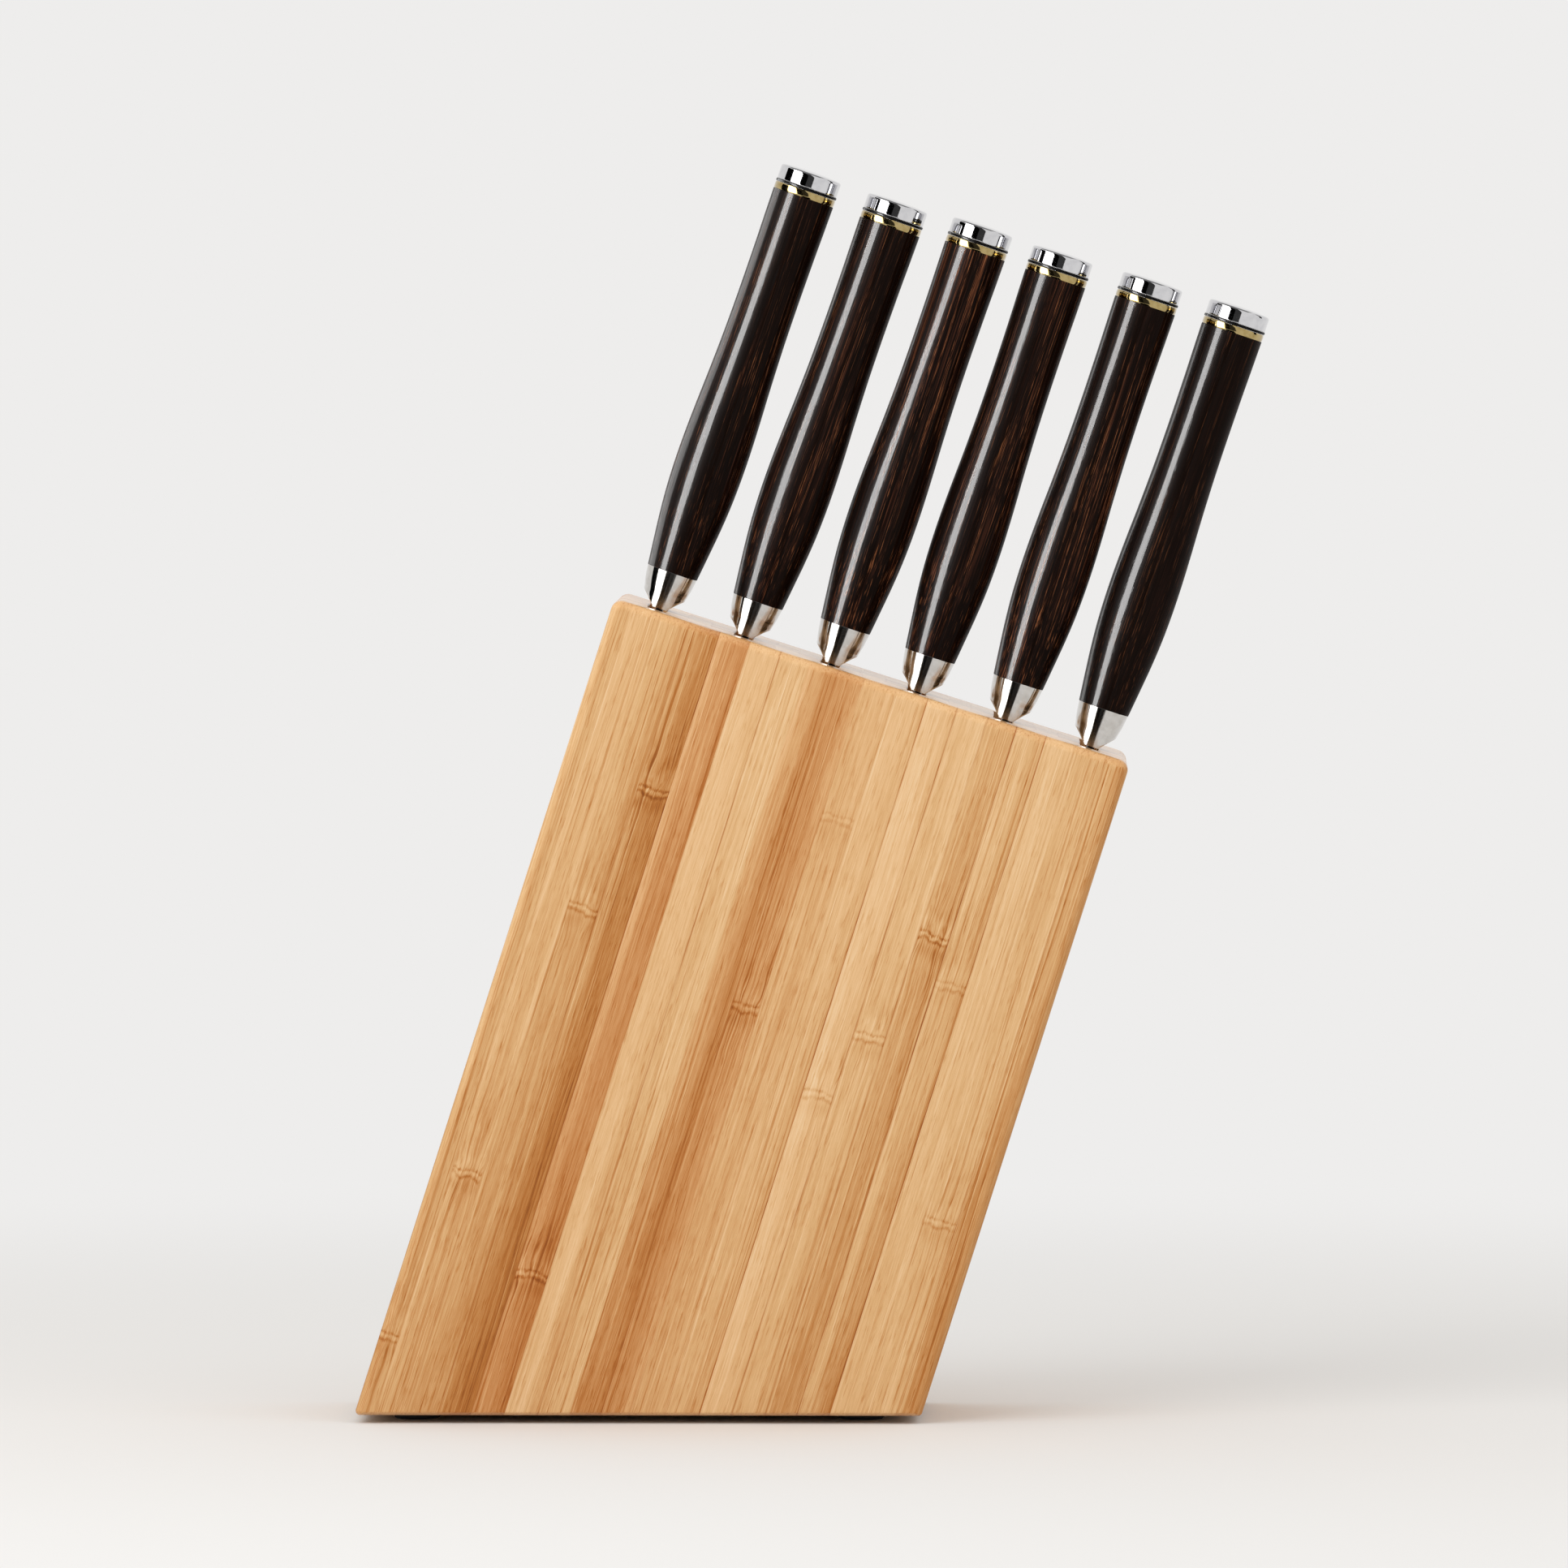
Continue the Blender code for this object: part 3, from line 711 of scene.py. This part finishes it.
def bamboo_piece(name, stages, node, layers, along_x=False, holes=()):
    """Bamboo solid from outlines in X and Z at given depths, front first.

    layers: list of (y low, y high, strips) that say which strip a point is in.
    along_x: fibres run along the base board instead of up the block.
    holes: pilot holes as (x, y, radius, bottom, top).
    """
    loops = [[(p[0], y, p[1]) for p in outline] for y, outline in reversed(stages)]
    verts, faces = skin(loops)
    mesh = bpy.data.meshes.new(name)
    mesh.from_pydata([Vector(v) * MM for v in verts], [], faces)
    mesh.validate()
    mesh.update()
    if holes:
        loops = [skin([circle(r, z0, 24, hx, hy), circle(r, z1, 24, hx, hy)])
                 for hx, hy, r, z0, z1 in holes]
        mesh = carved(mesh, loops)
    bm = bmesh.new()
    bm.from_mesh(mesh)

    def cut(point, normal):
        bmesh.ops.bisect_plane(bm, geom=bm.verts[:] + bm.edges[:] + bm.faces[:],
                               plane_co=point * MM, plane_no=normal, dist=1e-7)

    if along_x:
        for lo, hi, strips in layers:
            for st in strips[1:]:
                cut(Vector((0, st.lo, 0)), Vector((0, 1, 0)))
            cut(Vector((0, 0, hi)), Vector((0, 0, 1)))
    else:
        lo_s = min(st.lo for _, _, strips in layers for st in strips)
        hi_s = max(st.hi for _, _, strips in layers for st in strips)
        marks = set()
        for lo, hi, strips in layers:
            for st in strips:
                w = st.hi - st.lo
                marks.update((round(st.lo, 4), round(st.lo + 0.17 * w, 4),
                              round(st.lo + 0.5 * w, 4), round(st.lo + 0.83 * w, 4)))
        for m in sorted(marks):
            if lo_s + 0.01 < m < hi_s - 0.01:
                cut(TOP_LEFT + U * m, U)
        for lo, hi, strips in layers[1:]:
            cut(Vector((0, lo, 0)), Vector((0, 1, 0)))
        for k in range(1, 6):
            cut(TOP_LEFT - V * (15.0 + 40.0 * k), V)
    bm.normal_update()
    grain, lane, knot, seam, kind = [], [], [], [], []
    for f in bm.faces:
        c = f.calc_center_median()
        s, y, t = local(c)
        if along_x:
            across, depth = y, c.z / MM
        else:
            across, depth = s, y
        group = layers[0]
        for item in layers:
            if item[0] - 1e-6 <= depth <= item[1] + 1e-6:
                group = item
        strips = group[2]
        st = strips[0]
        for one in strips:
            if one.lo - 1e-6 <= across <= one.hi + 1e-6:
                st = one
        tk, strength, slope = st.knot
        for loop in f.loops:
            p = loop.vert.co
            ls, ly, lt = local(p)
            n = f.normal
            if along_x:
                ac, de, al = ly, p.z / MM, p.x / MM + 140.0
                cross = abs(n.x) ** 2 if abs(n.y) < 0.5 else 0.0
            else:
                ac, de, al = ls, ly, lt
                cross = min(1.0, max(0.0, abs(n.dot(V)) * 1.35 - 0.25))
            # the side of a strip shows its depth instead of its width
            side = abs(n.y) < 0.5 and cross < 0.5 and not along_x
            grain.append((ac, de, al))
            if side:
                lane.append((de - group[0], group[1] - de, st.tone(ac, al)))
            else:
                lane.append((ac - st.lo, st.hi - ac, st.tone(ac, al)))
            knot.append((al - tk, strength, slope))
            seam.append((st.row[9], st.row[10], cross))
            kind.append((st.seed, st.row[7], st.row[8]))
    bm.to_mesh(mesh)
    bm.free()
    for key, values in (("grain", grain), ("lane", lane), ("knot", knot),
                        ("seam", seam), ("kind", kind)):
        att = mesh.attributes.new(key, "FLOAT_VECTOR", "CORNER")
        att.data.foreach_set("vector", [c for v in values for c in v])
    return finish_piece(name, mesh, BAMBOO, "block", [node], smooth=25.0,
                        weighted=True)


def top_point(s):
    p = TOP_LEFT + U * s
    return Vector((p.x, p.z))


V2 = Vector((V.x, V.z))


def drop_to(s, z):
    p = top_point(s)
    return p - V2 * ((p.y - z) / COS)


def quad(s0, s1, z, inset=0.0, inset_low=0.0):
    a, b = s0 + inset, s1 - inset
    low = z + inset_low
    return [drop_to(a, low), drop_to(b, low),
            top_point(b) - V2 * inset, top_point(a) - V2 * inset]


def board_outline(inset):
    low = inset * 0.5
    pts = quad(0.0, BLOCK_W, FOOT_H, inset, low)
    top_r = max(CORNER_R - inset, 0.5)
    toe_r = max(TOE_R - low, 0.3)
    return rounded(pts, [toe_r, toe_r, top_r, top_r], [6, 6, 7, 7])


def edge_stages(face_y, inner_y):
    side = 1.0 if inner_y > face_y else -1.0
    stages = []
    for k in range(10):
        t = math.radians(90.0 * k / 9)
        stages.append((face_y + side * EDGE_R * (1.0 - math.cos(t)),
                       board_outline(EDGE_R * (1.0 - math.sin(t)))))
    stages.append((inner_y, board_outline(0.0)))
    return stages if side > 0 else list(reversed(stages))


front_edges = [0.0]
for row in FRONT:
    front_edges.append(front_edges[-1] + row[0])
front_edges[-1] = BLOCK_W
inner = HALF_D - BOARD_T / 2.0
bamboo_piece("front_board_bamboo", edge_stages(-HALF_D, -CORE_Y - SEAM / 2), "front_board", [
    (-HALF_D, -inner, strips_of(front_edges, (1,), FRONT, FRONT_KNOTS)),
    (-inner, -CORE_Y, strips_of(even_edges(0.0, BLOCK_W, 17, (2,)), (3,)))])
bamboo_piece("back_board_bamboo", edge_stages(HALF_D, CORE_Y + SEAM / 2), "back_board", [
    (CORE_Y, inner, strips_of(even_edges(0.0, BLOCK_W, 17, (4,)), (5,))),
    (inner, HALF_D, strips_of(even_edges(0.0, BLOCK_W, 18, (6,)), (7,)))])

CORE_HALF = CORE_Y - SEAM / 2
CORE_LOW = FOOT_H + BASE_T + SEAM


def core_piece(name, s0, s1, radii, key):
    stages = []
    for y, inset in ((-CORE_HALF, 0.0), (CORE_HALF, 0.0)):
        pts = quad(s0, s1, CORE_LOW)
        stages.append((y, rounded(pts, [0.0, 0.0, radii[1], radii[0]], [5] * 4)))
    count = max(1, round((s1 - s0) / 7.5))
    ys = even_edges(-CORE_Y, CORE_Y, 6, (key, 1), 0.03)
    layers = [(ys[i], ys[i + 1], strips_of(even_edges(s0, s1, count, (key, 2, i)),
                                           (key, 3, i))) for i in range(6)]
    bamboo_piece(name + "_bamboo", stages, name, layers)


half_slot = SLOT_W / 2.0
core_piece("left_end_board", 0.0, SLOT_S[0] - half_slot, (CORNER_R, 0.5), 20)
for i in range(5):
    core_piece("divider_%d" % (i + 1), SLOT_S[i] + half_slot,
               SLOT_S[i + 1] - half_slot, (0.5, 0.5), 21 + i)
core_piece("right_end_board", SLOT_S[-1] + half_slot, BLOCK_W, (0.5, CORNER_R), 30)

base_bl, base_br = drop_to(0.0, FOOT_H), drop_to(BLOCK_W, FOOT_H)
base_tl, base_tr = drop_to(0.0, FOOT_H + BASE_T), drop_to(BLOCK_W, FOOT_H + BASE_T)
base_outline = rounded([base_bl, base_br, base_tr, base_tl], [TOE_R, TOE_R, 0.0, 0.0], [6, 6, 5, 5])
base_mid = FOOT_H + BASE_T / 2
# ------------------------------------------------------------------ feet, screws
FOOT_POINTS = [("front_left", base_bl.x + FOOT_INSET, -FOOT_Y),
               ("front_right", base_br.x - FOOT_INSET, -FOOT_Y),
               ("back_left", base_bl.x + FOOT_INSET, FOOT_Y),
               ("back_right", base_br.x - FOOT_INSET, FOOT_Y)]
bamboo_piece("base_board_bamboo", [(-CORE_HALF, base_outline), (CORE_HALF, base_outline)],
             "base_board", [
    (FOOT_H - 1, base_mid, strips_of(even_edges(-CORE_Y, CORE_Y, 6, (40,)), (41,))),
    (base_mid, FOOT_H + BASE_T + 1, strips_of(even_edges(-CORE_Y, CORE_Y, 6, (42,)), (43,)))],
    along_x=True, holes=[(fx, fy, 1.53, FOOT_H - 1.0, 8.55) for _, fx, fy in FOOT_POINTS])

for tag, fx, fy in FOOT_POINTS:
    place = Matrix.Translation(Vector((fx, fy, 0.0)) * MM)
    top = FOOT_H - 0.05
    profile = [(FOOT_R - 0.9, 0.0), (FOOT_R - 0.55, 0.06), (FOOT_R - 0.25, 0.25),
               (FOOT_R - 0.06, 0.55), (FOOT_R, 0.9), (FOOT_R, top - 0.15),
               (FOOT_R - 0.12, top), (1.9, top), (1.9, 1.5), (3.6, 1.5), (3.6, 0.18),
               (3.78, 0.03)]
    verts, faces = skin([circle(r, z) for r, z in profile], closed=True)
    make("foot_" + tag + "_rubber", verts, faces, RUBBER, "block", ["foot_" + tag],
         place)
    # countersunk head with a cross recess, then a threaded shank
    profile = [(1.2, 0.34), (2.5, 0.32), (2.95, 0.38), (3.2, 0.62), (3.2, 0.75),
               (2.6, 1.2), (1.5, 1.25)]
    z = 1.4
    while z < 6.6:
        profile += [(1.22, z), (1.5, z + 0.22), (1.5, z + 0.30), (1.22, z + 0.52)]
        z += 0.62
    profile += [(0.9, 7.4), (0.35, 8.4)]
    verts, faces = skin([circle(r, z, 40) for r, z in profile])
    blank = bpy.data.meshes.new("screw")
    blank.from_pydata([Vector(v) * MM for v in verts], [], faces)
    cross = []
    for w, l in ((0.28, 1.5), (1.5, 0.28)):
        cross.append(skin([[(-w, -l, z), (w, -l, z), (w, l, z), (-w, l, z)]
                           for z in (0.1, 0.9)]))
    finish_piece("foot_screw_" + tag + "_steel", carved(blank, cross), SCREW, "block",
                 ["foot_screw_" + tag], place)


# ------------------------------------------------------------------ knives
# bolster: height, half thickness between the scoops at the blade's sides
SCOOP_ROWS = [
    (0.10, 2.22), (0.30, 2.30), (0.60, 2.52), (0.95, 2.86), (1.35, 3.24), (1.80, 3.66),
    (2.30, 4.15), (2.80, 4.70), (3.25, 5.24), (3.65, 5.76), (3.95, 6.16), (4.25, 6.58),
    (4.70, 7.20), (5.20, 8.00), (5.80, 8.90), (7.00, 9.90), (8.20, 9.90), (9.40, 9.90),
    (10.40, 9.90), (10.66, 9.90), (10.70, 9.90), (10.735, 9.90),
]
# bolster: height, half thickness and half depth of the oval it is cut from
BOLSTER_ROWS = [
    (0.10, 5.91, 9.54), (1.5, 5.97, 9.56), (3.0, 6.05, 9.59), (4.5, 6.17, 9.62),
    (6.8, 6.73, 9.68), (8.8, 7.04, 9.72), (10.70, 7.30, 9.75), (10.735, 7.28, 9.73),
]
HANDLE_ROWS = [
    (10.765, 7.31, 9.76), (18.7, 8.22, 10.3), (25.5, 8.95, 10.8), (32.4, 9.50, 11.25),
    (39.3, 9.77, 11.5), (46.1, 9.82, 11.6), (53.0, 9.69, 11.5), (59.8, 9.45, 11.33),
    (66.7, 9.15, 11.13), (73.6, 8.91, 10.95), (80.4, 8.73, 10.8), (87.3, 8.64, 10.65),
    (94.2, 8.61, 10.6), (101.0, 8.63, 10.65), (108.0, 8.68, 10.75), (115.0, 8.78, 10.87),
    (122.5, 8.86, 10.98),
]


def tube(rows, n=64):
    return sleeve([oval(a, b, z, n) for z, a, b in rows], n)


def sleeve(loops, n):
    """Closed tube over loops with the tang's rectangular slot through it."""
    return skin(loops + [slot_ring(BORE[0], BORE[1], loops[-1][0][2], n),
                         slot_ring(BORE[0], BORE[1], loops[0][0][2], n)], closed=True)


def between(rows, x):
    """Row of numbers at x, in straight lines between the rows."""
    for lo, hi in zip(rows, rows[1:]):
        if x <= hi[0] + 1e-9:
            t = (x - lo[0]) / (hi[0] - lo[0])
            return [a + (b - a) * t for a, b in zip(lo, hi)]
    return list(rows[-1])


def bolster(rise, n=96):
    """Oval steel sleeve with a scoop on each side, down to the blade."""
    height = BOLSTER_ROWS[-1][0] - 0.1
    loops = []
    for z, half in SCOOP_ROWS:
        _, a, b = between(BOLSTER_ROWS, z)
        loop = []
        for x, y, _ in oval(a, b, z, n):
            # the scoop meets the oval in a slightly rounded edge
            blend = max(0.3 - abs(abs(x) - half), 0.0) / 0.3
            reach = min(abs(x), half) - blend * blend * 0.3 / 4.0
            loop.append((math.copysign(reach, x) if abs(x) > 1e-9 else 0.0, y,
                         0.1 + (z - 0.1) * (height + rise) / height))
        loops.append(loop)
    return sleeve(loops, n)


def blade_section(y0, y1, spine, edge, bevel, z):
    """Points round a blade from the spine down one side and up the other."""
    h = y1 - y0
    r = min(0.28, spine * 0.2, h * 0.1)
    b = min(bevel, h * 0.3)
    belly = spine * 0.5
    side = [
        (belly - r, y0), (belly - 0.3 * r, y0 + 0.3 * r), (belly, y0 + r),
        (belly, y0 + 0.22 * h), (belly * 0.97, y0 + 0.38 * h),
        (belly + (edge / 2 - belly) * 0.42, y0 + 0.62 * h),
        (belly + (edge / 2 - belly) * 0.78, y0 + 0.82 * h),
        (edge / 2, y1 - b), (min(0.05, edge / 2), y1),
    ]
    left = [(x, y, z) for x, y in side]
    right = [(-x, y, z) for x, y in reversed(side)]
    return left + right


def blade_loops(length, width, tip_frac, tang_top):
    tip_y = SPINE_Y + tip_frac * width
    loops = []
    steps = 44
    for k in range(steps + 1):
        f = 0.996 * (1.0 - (k / steps) ** 1.35) if k < steps else 0.0
        z = -6.6 + (-length + 6.6) * f
        g = -z / length
        y0 = SPINE_Y + (tip_y - SPINE_Y) * g ** 3.5
        y1 = tip_y + (SPINE_Y + width - tip_y) * max(0.0, 1.0 - g ** 3.2) ** 0.85
        spine = BLADE_T - (BLADE_T - 0.7) * g
        edge = 0.34 if g < 0.9 else 0.34 - 0.1 * (g - 0.9) / 0.1
        if y1 - y0 < 0.35:
            mid = (y0 + y1) / 2
            y0, y1 = mid - 0.17, mid + 0.17
        loops.append(blade_section(y0, y1, spine, edge, 0.9, z))
    # heel: the edge steps up to the ricasso in a small curve
    for z, drop, edge in ((-6.2, 0.0, 0.36), (-5.95, 0.10, 0.40), (-5.6, 0.45, 0.7),
                          (-5.3, 0.80, 1.2), (-5.0, 0.97, 1.8)):
        y1 = SPINE_Y + width + (19.8 - width) * drop
        loops.append(blade_section(SPINE_Y, y1, BLADE_T * 0.99, edge, 0.6, z))
    for z in (-4.6, -2.5, -0.4):
        loops.append(blade_section(SPINE_Y, SPINE_Y + 19.6, BLADE_T, BLADE_T * 0.98, 0.25, z))
    tx, ty0, ty1, _ = TANG
    for hw, z in ((ty0, 0.0), (ty0, 30.0), (ty1, 60.0), (ty1, tang_top)):
        loops.append(blade_section(-hw, hw, 2 * tx, 2 * tx, 0.1, z))
    return loops


def crowned(z0, z1, a, b, proud, steps=8, n=64):
    """A ring with rounded edges, slightly proud in its middle."""
    rows = []
    h = z1 - z0
    for k in range(steps + 1):
        t = k / steps
        bulge = math.sin(math.pi * t) ** 0.5 if 0 < t < 1 else 0.0
        rows.append((z0 + h * t, a - 0.10 + (0.10 + proud) * bulge,
                     b - 0.10 + (0.10 + proud) * bulge))
    return tube(rows, n)


def end_cap(rise, n=64):
    """Polished cap: straight side, rounded rim, slightly crowned end."""
    z0 = 125.43 + rise
    a, b = 8.84, 10.97
    rows = [(0.0, a - 0.12, b - 0.12), (0.06, a - 0.03, b - 0.03), (0.16, a, b),
            (0.4, a, b), (3.2, a, b), (3.4, a, b), (3.55, a - 0.02, b - 0.02)]
    for k in range(1, 7):
        t = math.radians(90.0 * k / 6)
        rows.append((3.55 + 0.65 * math.sin(t), a - 0.03 - 0.65 * (1 - math.cos(t)),
                     b - 0.03 - 0.65 * (1 - math.cos(t))))
    for share, lift in ((0.86, 0.12), (0.76, 0.22), (0.60, 0.34), (0.42, 0.43),
                        (0.22, 0.49), (0.06, 0.515)):
        rows.append((4.2 + lift, a * share, b * share))
    loops = [slot_ring(BORE[0], TANG[2] + 0.35, TANG[3] + rise + 0.3, n),
             slot_ring(BORE[0], TANG[2] + 0.35, z0, n)]
    return skin(loops + [oval(ra, rb, z0 + z, n) for z, ra, rb in rows])


for k, (name, slot, length, width, lean, offset, y, tip_frac, rise, _) in enumerate(KNIVES):
    neck = TOP_LEFT + U * (SLOT_S[slot] + offset)
    place = Matrix.Translation(Vector((neck.x, y, neck.z)) * MM) @ Matrix.Rotation(
        SLANT + math.radians(lean), 4, "Y")
    body = name + "_knife"
    verts, faces = skin(blade_loops(length, width, tip_frac, TANG[3] + rise))
    make(name + "_blade_ground", verts, faces, BLADE, body, [name + "_blade"],
         place, smooth=18)
    verts, faces = bolster(rise)
    make(name + "_bolster_turned", verts, faces, BOLSTER, body, [name + "_bolster"],
         place, smooth=24)
    rows = [(z + rise, a, b) for z, a, b in spline(HANDLE_ROWS, 72)]
    (z0, a0, b0), (z1, a1, b1) = rows[0], rows[-1]
    rows = [(z0, a0 - 0.025, b0 - 0.025), (z0 + 0.02, a0, b0),
            (z0 + 0.06, a0 + 0.005, b0 + 0.003)] + rows[1:-1] + [
        (z1 - 0.06, a1, b1), (z1 - 0.02, a1, b1), (z1, a1 - 0.025, b1 - 0.025)]
    verts, faces = tube(rows, 80)
    make(name + "_handle_wood", verts, faces, HANDLES[k], body, [name + "_handle"],
         place, smooth=40)
    verts, faces = crowned(122.54 + rise, 124.52 + rise, 8.84, 10.95, 0.04)
    make(name + "_brass_ring_turned", verts, faces, BRASS, body, [name + "_brass_ring"],
         place, smooth=40)
    verts, faces = crowned(124.60 + rise, 125.34 + rise, 8.90, 11.0, 0.05, 6)
    make(name + "_spacer_ring", verts, faces, SPACER, body, [name + "_spacer"],
         place, smooth=50)
    verts, faces = end_cap(rise)
    make(name + "_end_cap_polished", verts, faces, CAP, body, [name + "_end_cap"],
         place, smooth=40)


# ------------------------------------------------------------------ studio
def floor_material():
    """Pale matt floor that fades into the background away from the object."""
    n = Nodes("studio_floor")
    tex = n.node("ShaderNodeTexCoord")
    length = n.node("ShaderNodeVectorMath")
    length.operation = "LENGTH"
    n.put(length.inputs[0], tex.outputs["Object"])
    far = n.ramp(length.outputs["Value"], 0.34, 0.95)
    grain = n.noise(tex.outputs["Object"], 2.0)
    n.set(colour=n.mix(n.mul(grain, 0.15), (232, 231, 229), (226, 225, 223)),
          rough=0.9, specular=0.0)
    glow = n.node("ShaderNodeEmission")
    glow.inputs["Color"].default_value = (*srgb(BACKDROP), 1.0)
    glow.inputs["Strength"].default_value = 1.0
    mixer = n.node("ShaderNodeMixShader")
    n.put(mixer.inputs[0], far)
    n.put(mixer.inputs[1], n.bsdf.outputs[0])
    n.put(mixer.inputs[2], glow.outputs[0])
    out = n.tree.nodes["Material Output"]
    n.tree.links.new(mixer.outputs[0], out.inputs["Surface"])
    return n.mat


BACKDROP = (238, 237, 236)
bm = bmesh.new()
rings = [0.0, 0.2, 0.4, 0.7, 1.2, 3.0, 9.0]
bmesh.ops.create_circle(bm, cap_ends=True, radius=9.0, segments=96)
floor_mesh = bpy.data.meshes.new("studio_floor")
bm.to_mesh(floor_mesh)
bm.free()
floor = bpy.data.objects.new("studio_floor", floor_mesh)
bpy.context.scene.collection.objects.link(floor)
floor.data.materials.append(floor_material())

world = bpy.data.worlds.new("studio")
bpy.context.scene.world = world
world.use_nodes = True
world.node_tree.nodes["Background"].inputs[0].default_value = (*srgb(BACKDROP), 1.0)
world.node_tree.nodes["Background"].inputs[1].default_value = 1.0

AIM = Vector((0.0, 0.0, 0.24))
# the strip lights that draw the highlights on the handles light only those
LACQUERED = bpy.data.collections.new("lacquered")
BRASSES = bpy.data.collections.new("brasses")
WOODEN = bpy.data.collections.new("wooden")
for piece in list(bpy.context.scene.objects):
    if piece.name.endswith(("_handle_wood", "_spacer_ring")):
        LACQUERED.objects.link(piece)
    if piece.name.endswith("_brass_ring_turned"):
        BRASSES.objects.link(piece)
    if piece.type == "MESH" and piece.data.materials[:1] == [BAMBOO]:
        WOODEN.objects.link(piece)


def direction(azimuth, elevation):
    """Unit vector from the object; azimuth 0 is toward the camera, + is right."""
    a, e = math.radians(azimuth), math.radians(elevation)
    return Vector((math.sin(a) * math.cos(e), -math.cos(a) * math.cos(e), math.sin(e)))


def panel(name, azimuth, elevation, distance, width, height, radiance, glossy, diffuse):
    """A soft light panel that faces the object."""
    data = bpy.data.lights.new(name, "AREA")
    data.shape = "RECTANGLE"
    data.size, data.size_y = width, height
    data.energy = radiance * math.pi * width * height
    obj = bpy.data.objects.new(name, data)
    bpy.context.scene.collection.objects.link(obj)
    where = direction(azimuth, elevation)
    obj.location = AIM + where * distance
    obj.rotation_euler = where.to_track_quat("Z", "Y").to_euler()
    obj.visible_camera = False
    obj.visible_glossy = glossy
    obj.visible_diffuse = diffuse
    return obj


def card(name, azimuth, elevation, distance, width, height, glow=0.0):
    """A dark card that only shows in reflections."""
    w, h = width / 2, height / 2
    mesh = bpy.data.meshes.new(name)
    mesh.from_pydata([(-w, -h, 0), (w, -h, 0), (w, h, 0), (-w, h, 0)], [], [(0, 1, 2, 3)])
    n = Nodes(name)
    n.set(colour=(3, 3, 3), rough=1.0, specular=0.0)
    n.bsdf.inputs["Emission Color"].default_value = (1.0, 0.99, 0.98, 1.0)
    n.bsdf.inputs["Emission Strength"].default_value = glow
    mesh.materials.append(n.mat)
    obj = bpy.data.objects.new(name, mesh)
    bpy.context.scene.collection.objects.link(obj)
    where = direction(azimuth, elevation)
    obj.location = AIM + where * distance
    obj.rotation_euler = where.to_track_quat("Z", "Y").to_euler()
    obj.visible_camera = False
    obj.visible_diffuse = False
    obj.visible_shadow = False
    return obj


def span(degrees, distance):
    return 2.0 * distance * math.tan(math.radians(degrees / 2.0))


shine = panel("softbox_shine", -46.0, 18.0, 1.6, span(26, 1.6), span(62, 1.6), 137.0,
              True, False)
shine.light_linking.receiver_collection = LACQUERED
panel("softbox_metal", -47.5, 12.0, 1.6, span(47, 1.6), span(76, 1.6), 2.6, True, False)
gleam = panel("softbox_brass", -46.0, 18.0, 1.6, span(34, 1.6), span(62, 1.6), 6.5, True, False)
gleam.light_linking.receiver_collection = BRASSES
above = panel("softbox_above", 0.0, 84.0, 1.6, 1.0, 1.0, 2.6, False, True)
above.light_linking.receiver_collection = WOODEN
panel("softbox_fill", -40.0, 30.0, 1.6, 1.2, 1.2, 2.0, False, True)
panel("softbox_right", 45.0, 35.0, 1.8, 1.4, 1.4, 0.5, False, True)
for tag, azimuth, wide, radiance in (("near", -112.5, 11, 18.0), ("middle", -125.0, 14, 14.0),
                                     ("far", -141.0, 18, 9.0)):
    rim = panel("rim_" + tag, azimuth, 12.0, 1.6, span(wide, 1.6), span(50, 1.6), radiance,
                True, False)
    rim.light_linking.receiver_collection = LACQUERED
card("card_camera", -14.5, 5.0, 1.5, span(19, 1.5), span(70, 1.5))
card("card_centre", 3.4, 5.0, 1.5, span(17, 1.5), span(70, 1.5), 0.04)
card("card_low", -1.5, -20.0, 0.45, span(30, 0.45), span(28, 0.45))
card("card_low_left", -116.0, -22.0, 0.45, span(76, 0.45), span(28, 0.45), 0.06)
card("card_top", 0.0, 78.0, 1.5, span(88, 1.5), span(76, 1.5), 0.26)
card("card_left", -87.5, 10.0, 1.5, span(37, 1.5), span(60, 1.5))
card("card_right", 98.5, 5.0, 1.5, span(15, 1.5), span(60, 1.5))

# ------------------------------------------------------------------ camera
eye = Vector((58.97, -4037.5, 339.91)) * MM
target = Vector((-7.92, -37.5, 179.37)) * MM
cam_data = bpy.data.cameras.new("camera")
cam_data.sensor_width = 36.0
cam_data.lens = 17656.7 / 1932.0 * 36.0
cam_data.clip_start, cam_data.clip_end = 0.1, 60.0
camera = bpy.data.objects.new("camera", cam_data)
bpy.context.scene.collection.objects.link(camera)
camera.location = eye
camera.rotation_euler = (target - eye).to_track_quat("-Z", "Y").to_euler()
bpy.context.scene.camera = camera
bpy.context.scene.view_settings.view_transform = "Standard"
bpy.context.scene.view_settings.look = "None"

bpy.context.view_layer.update()
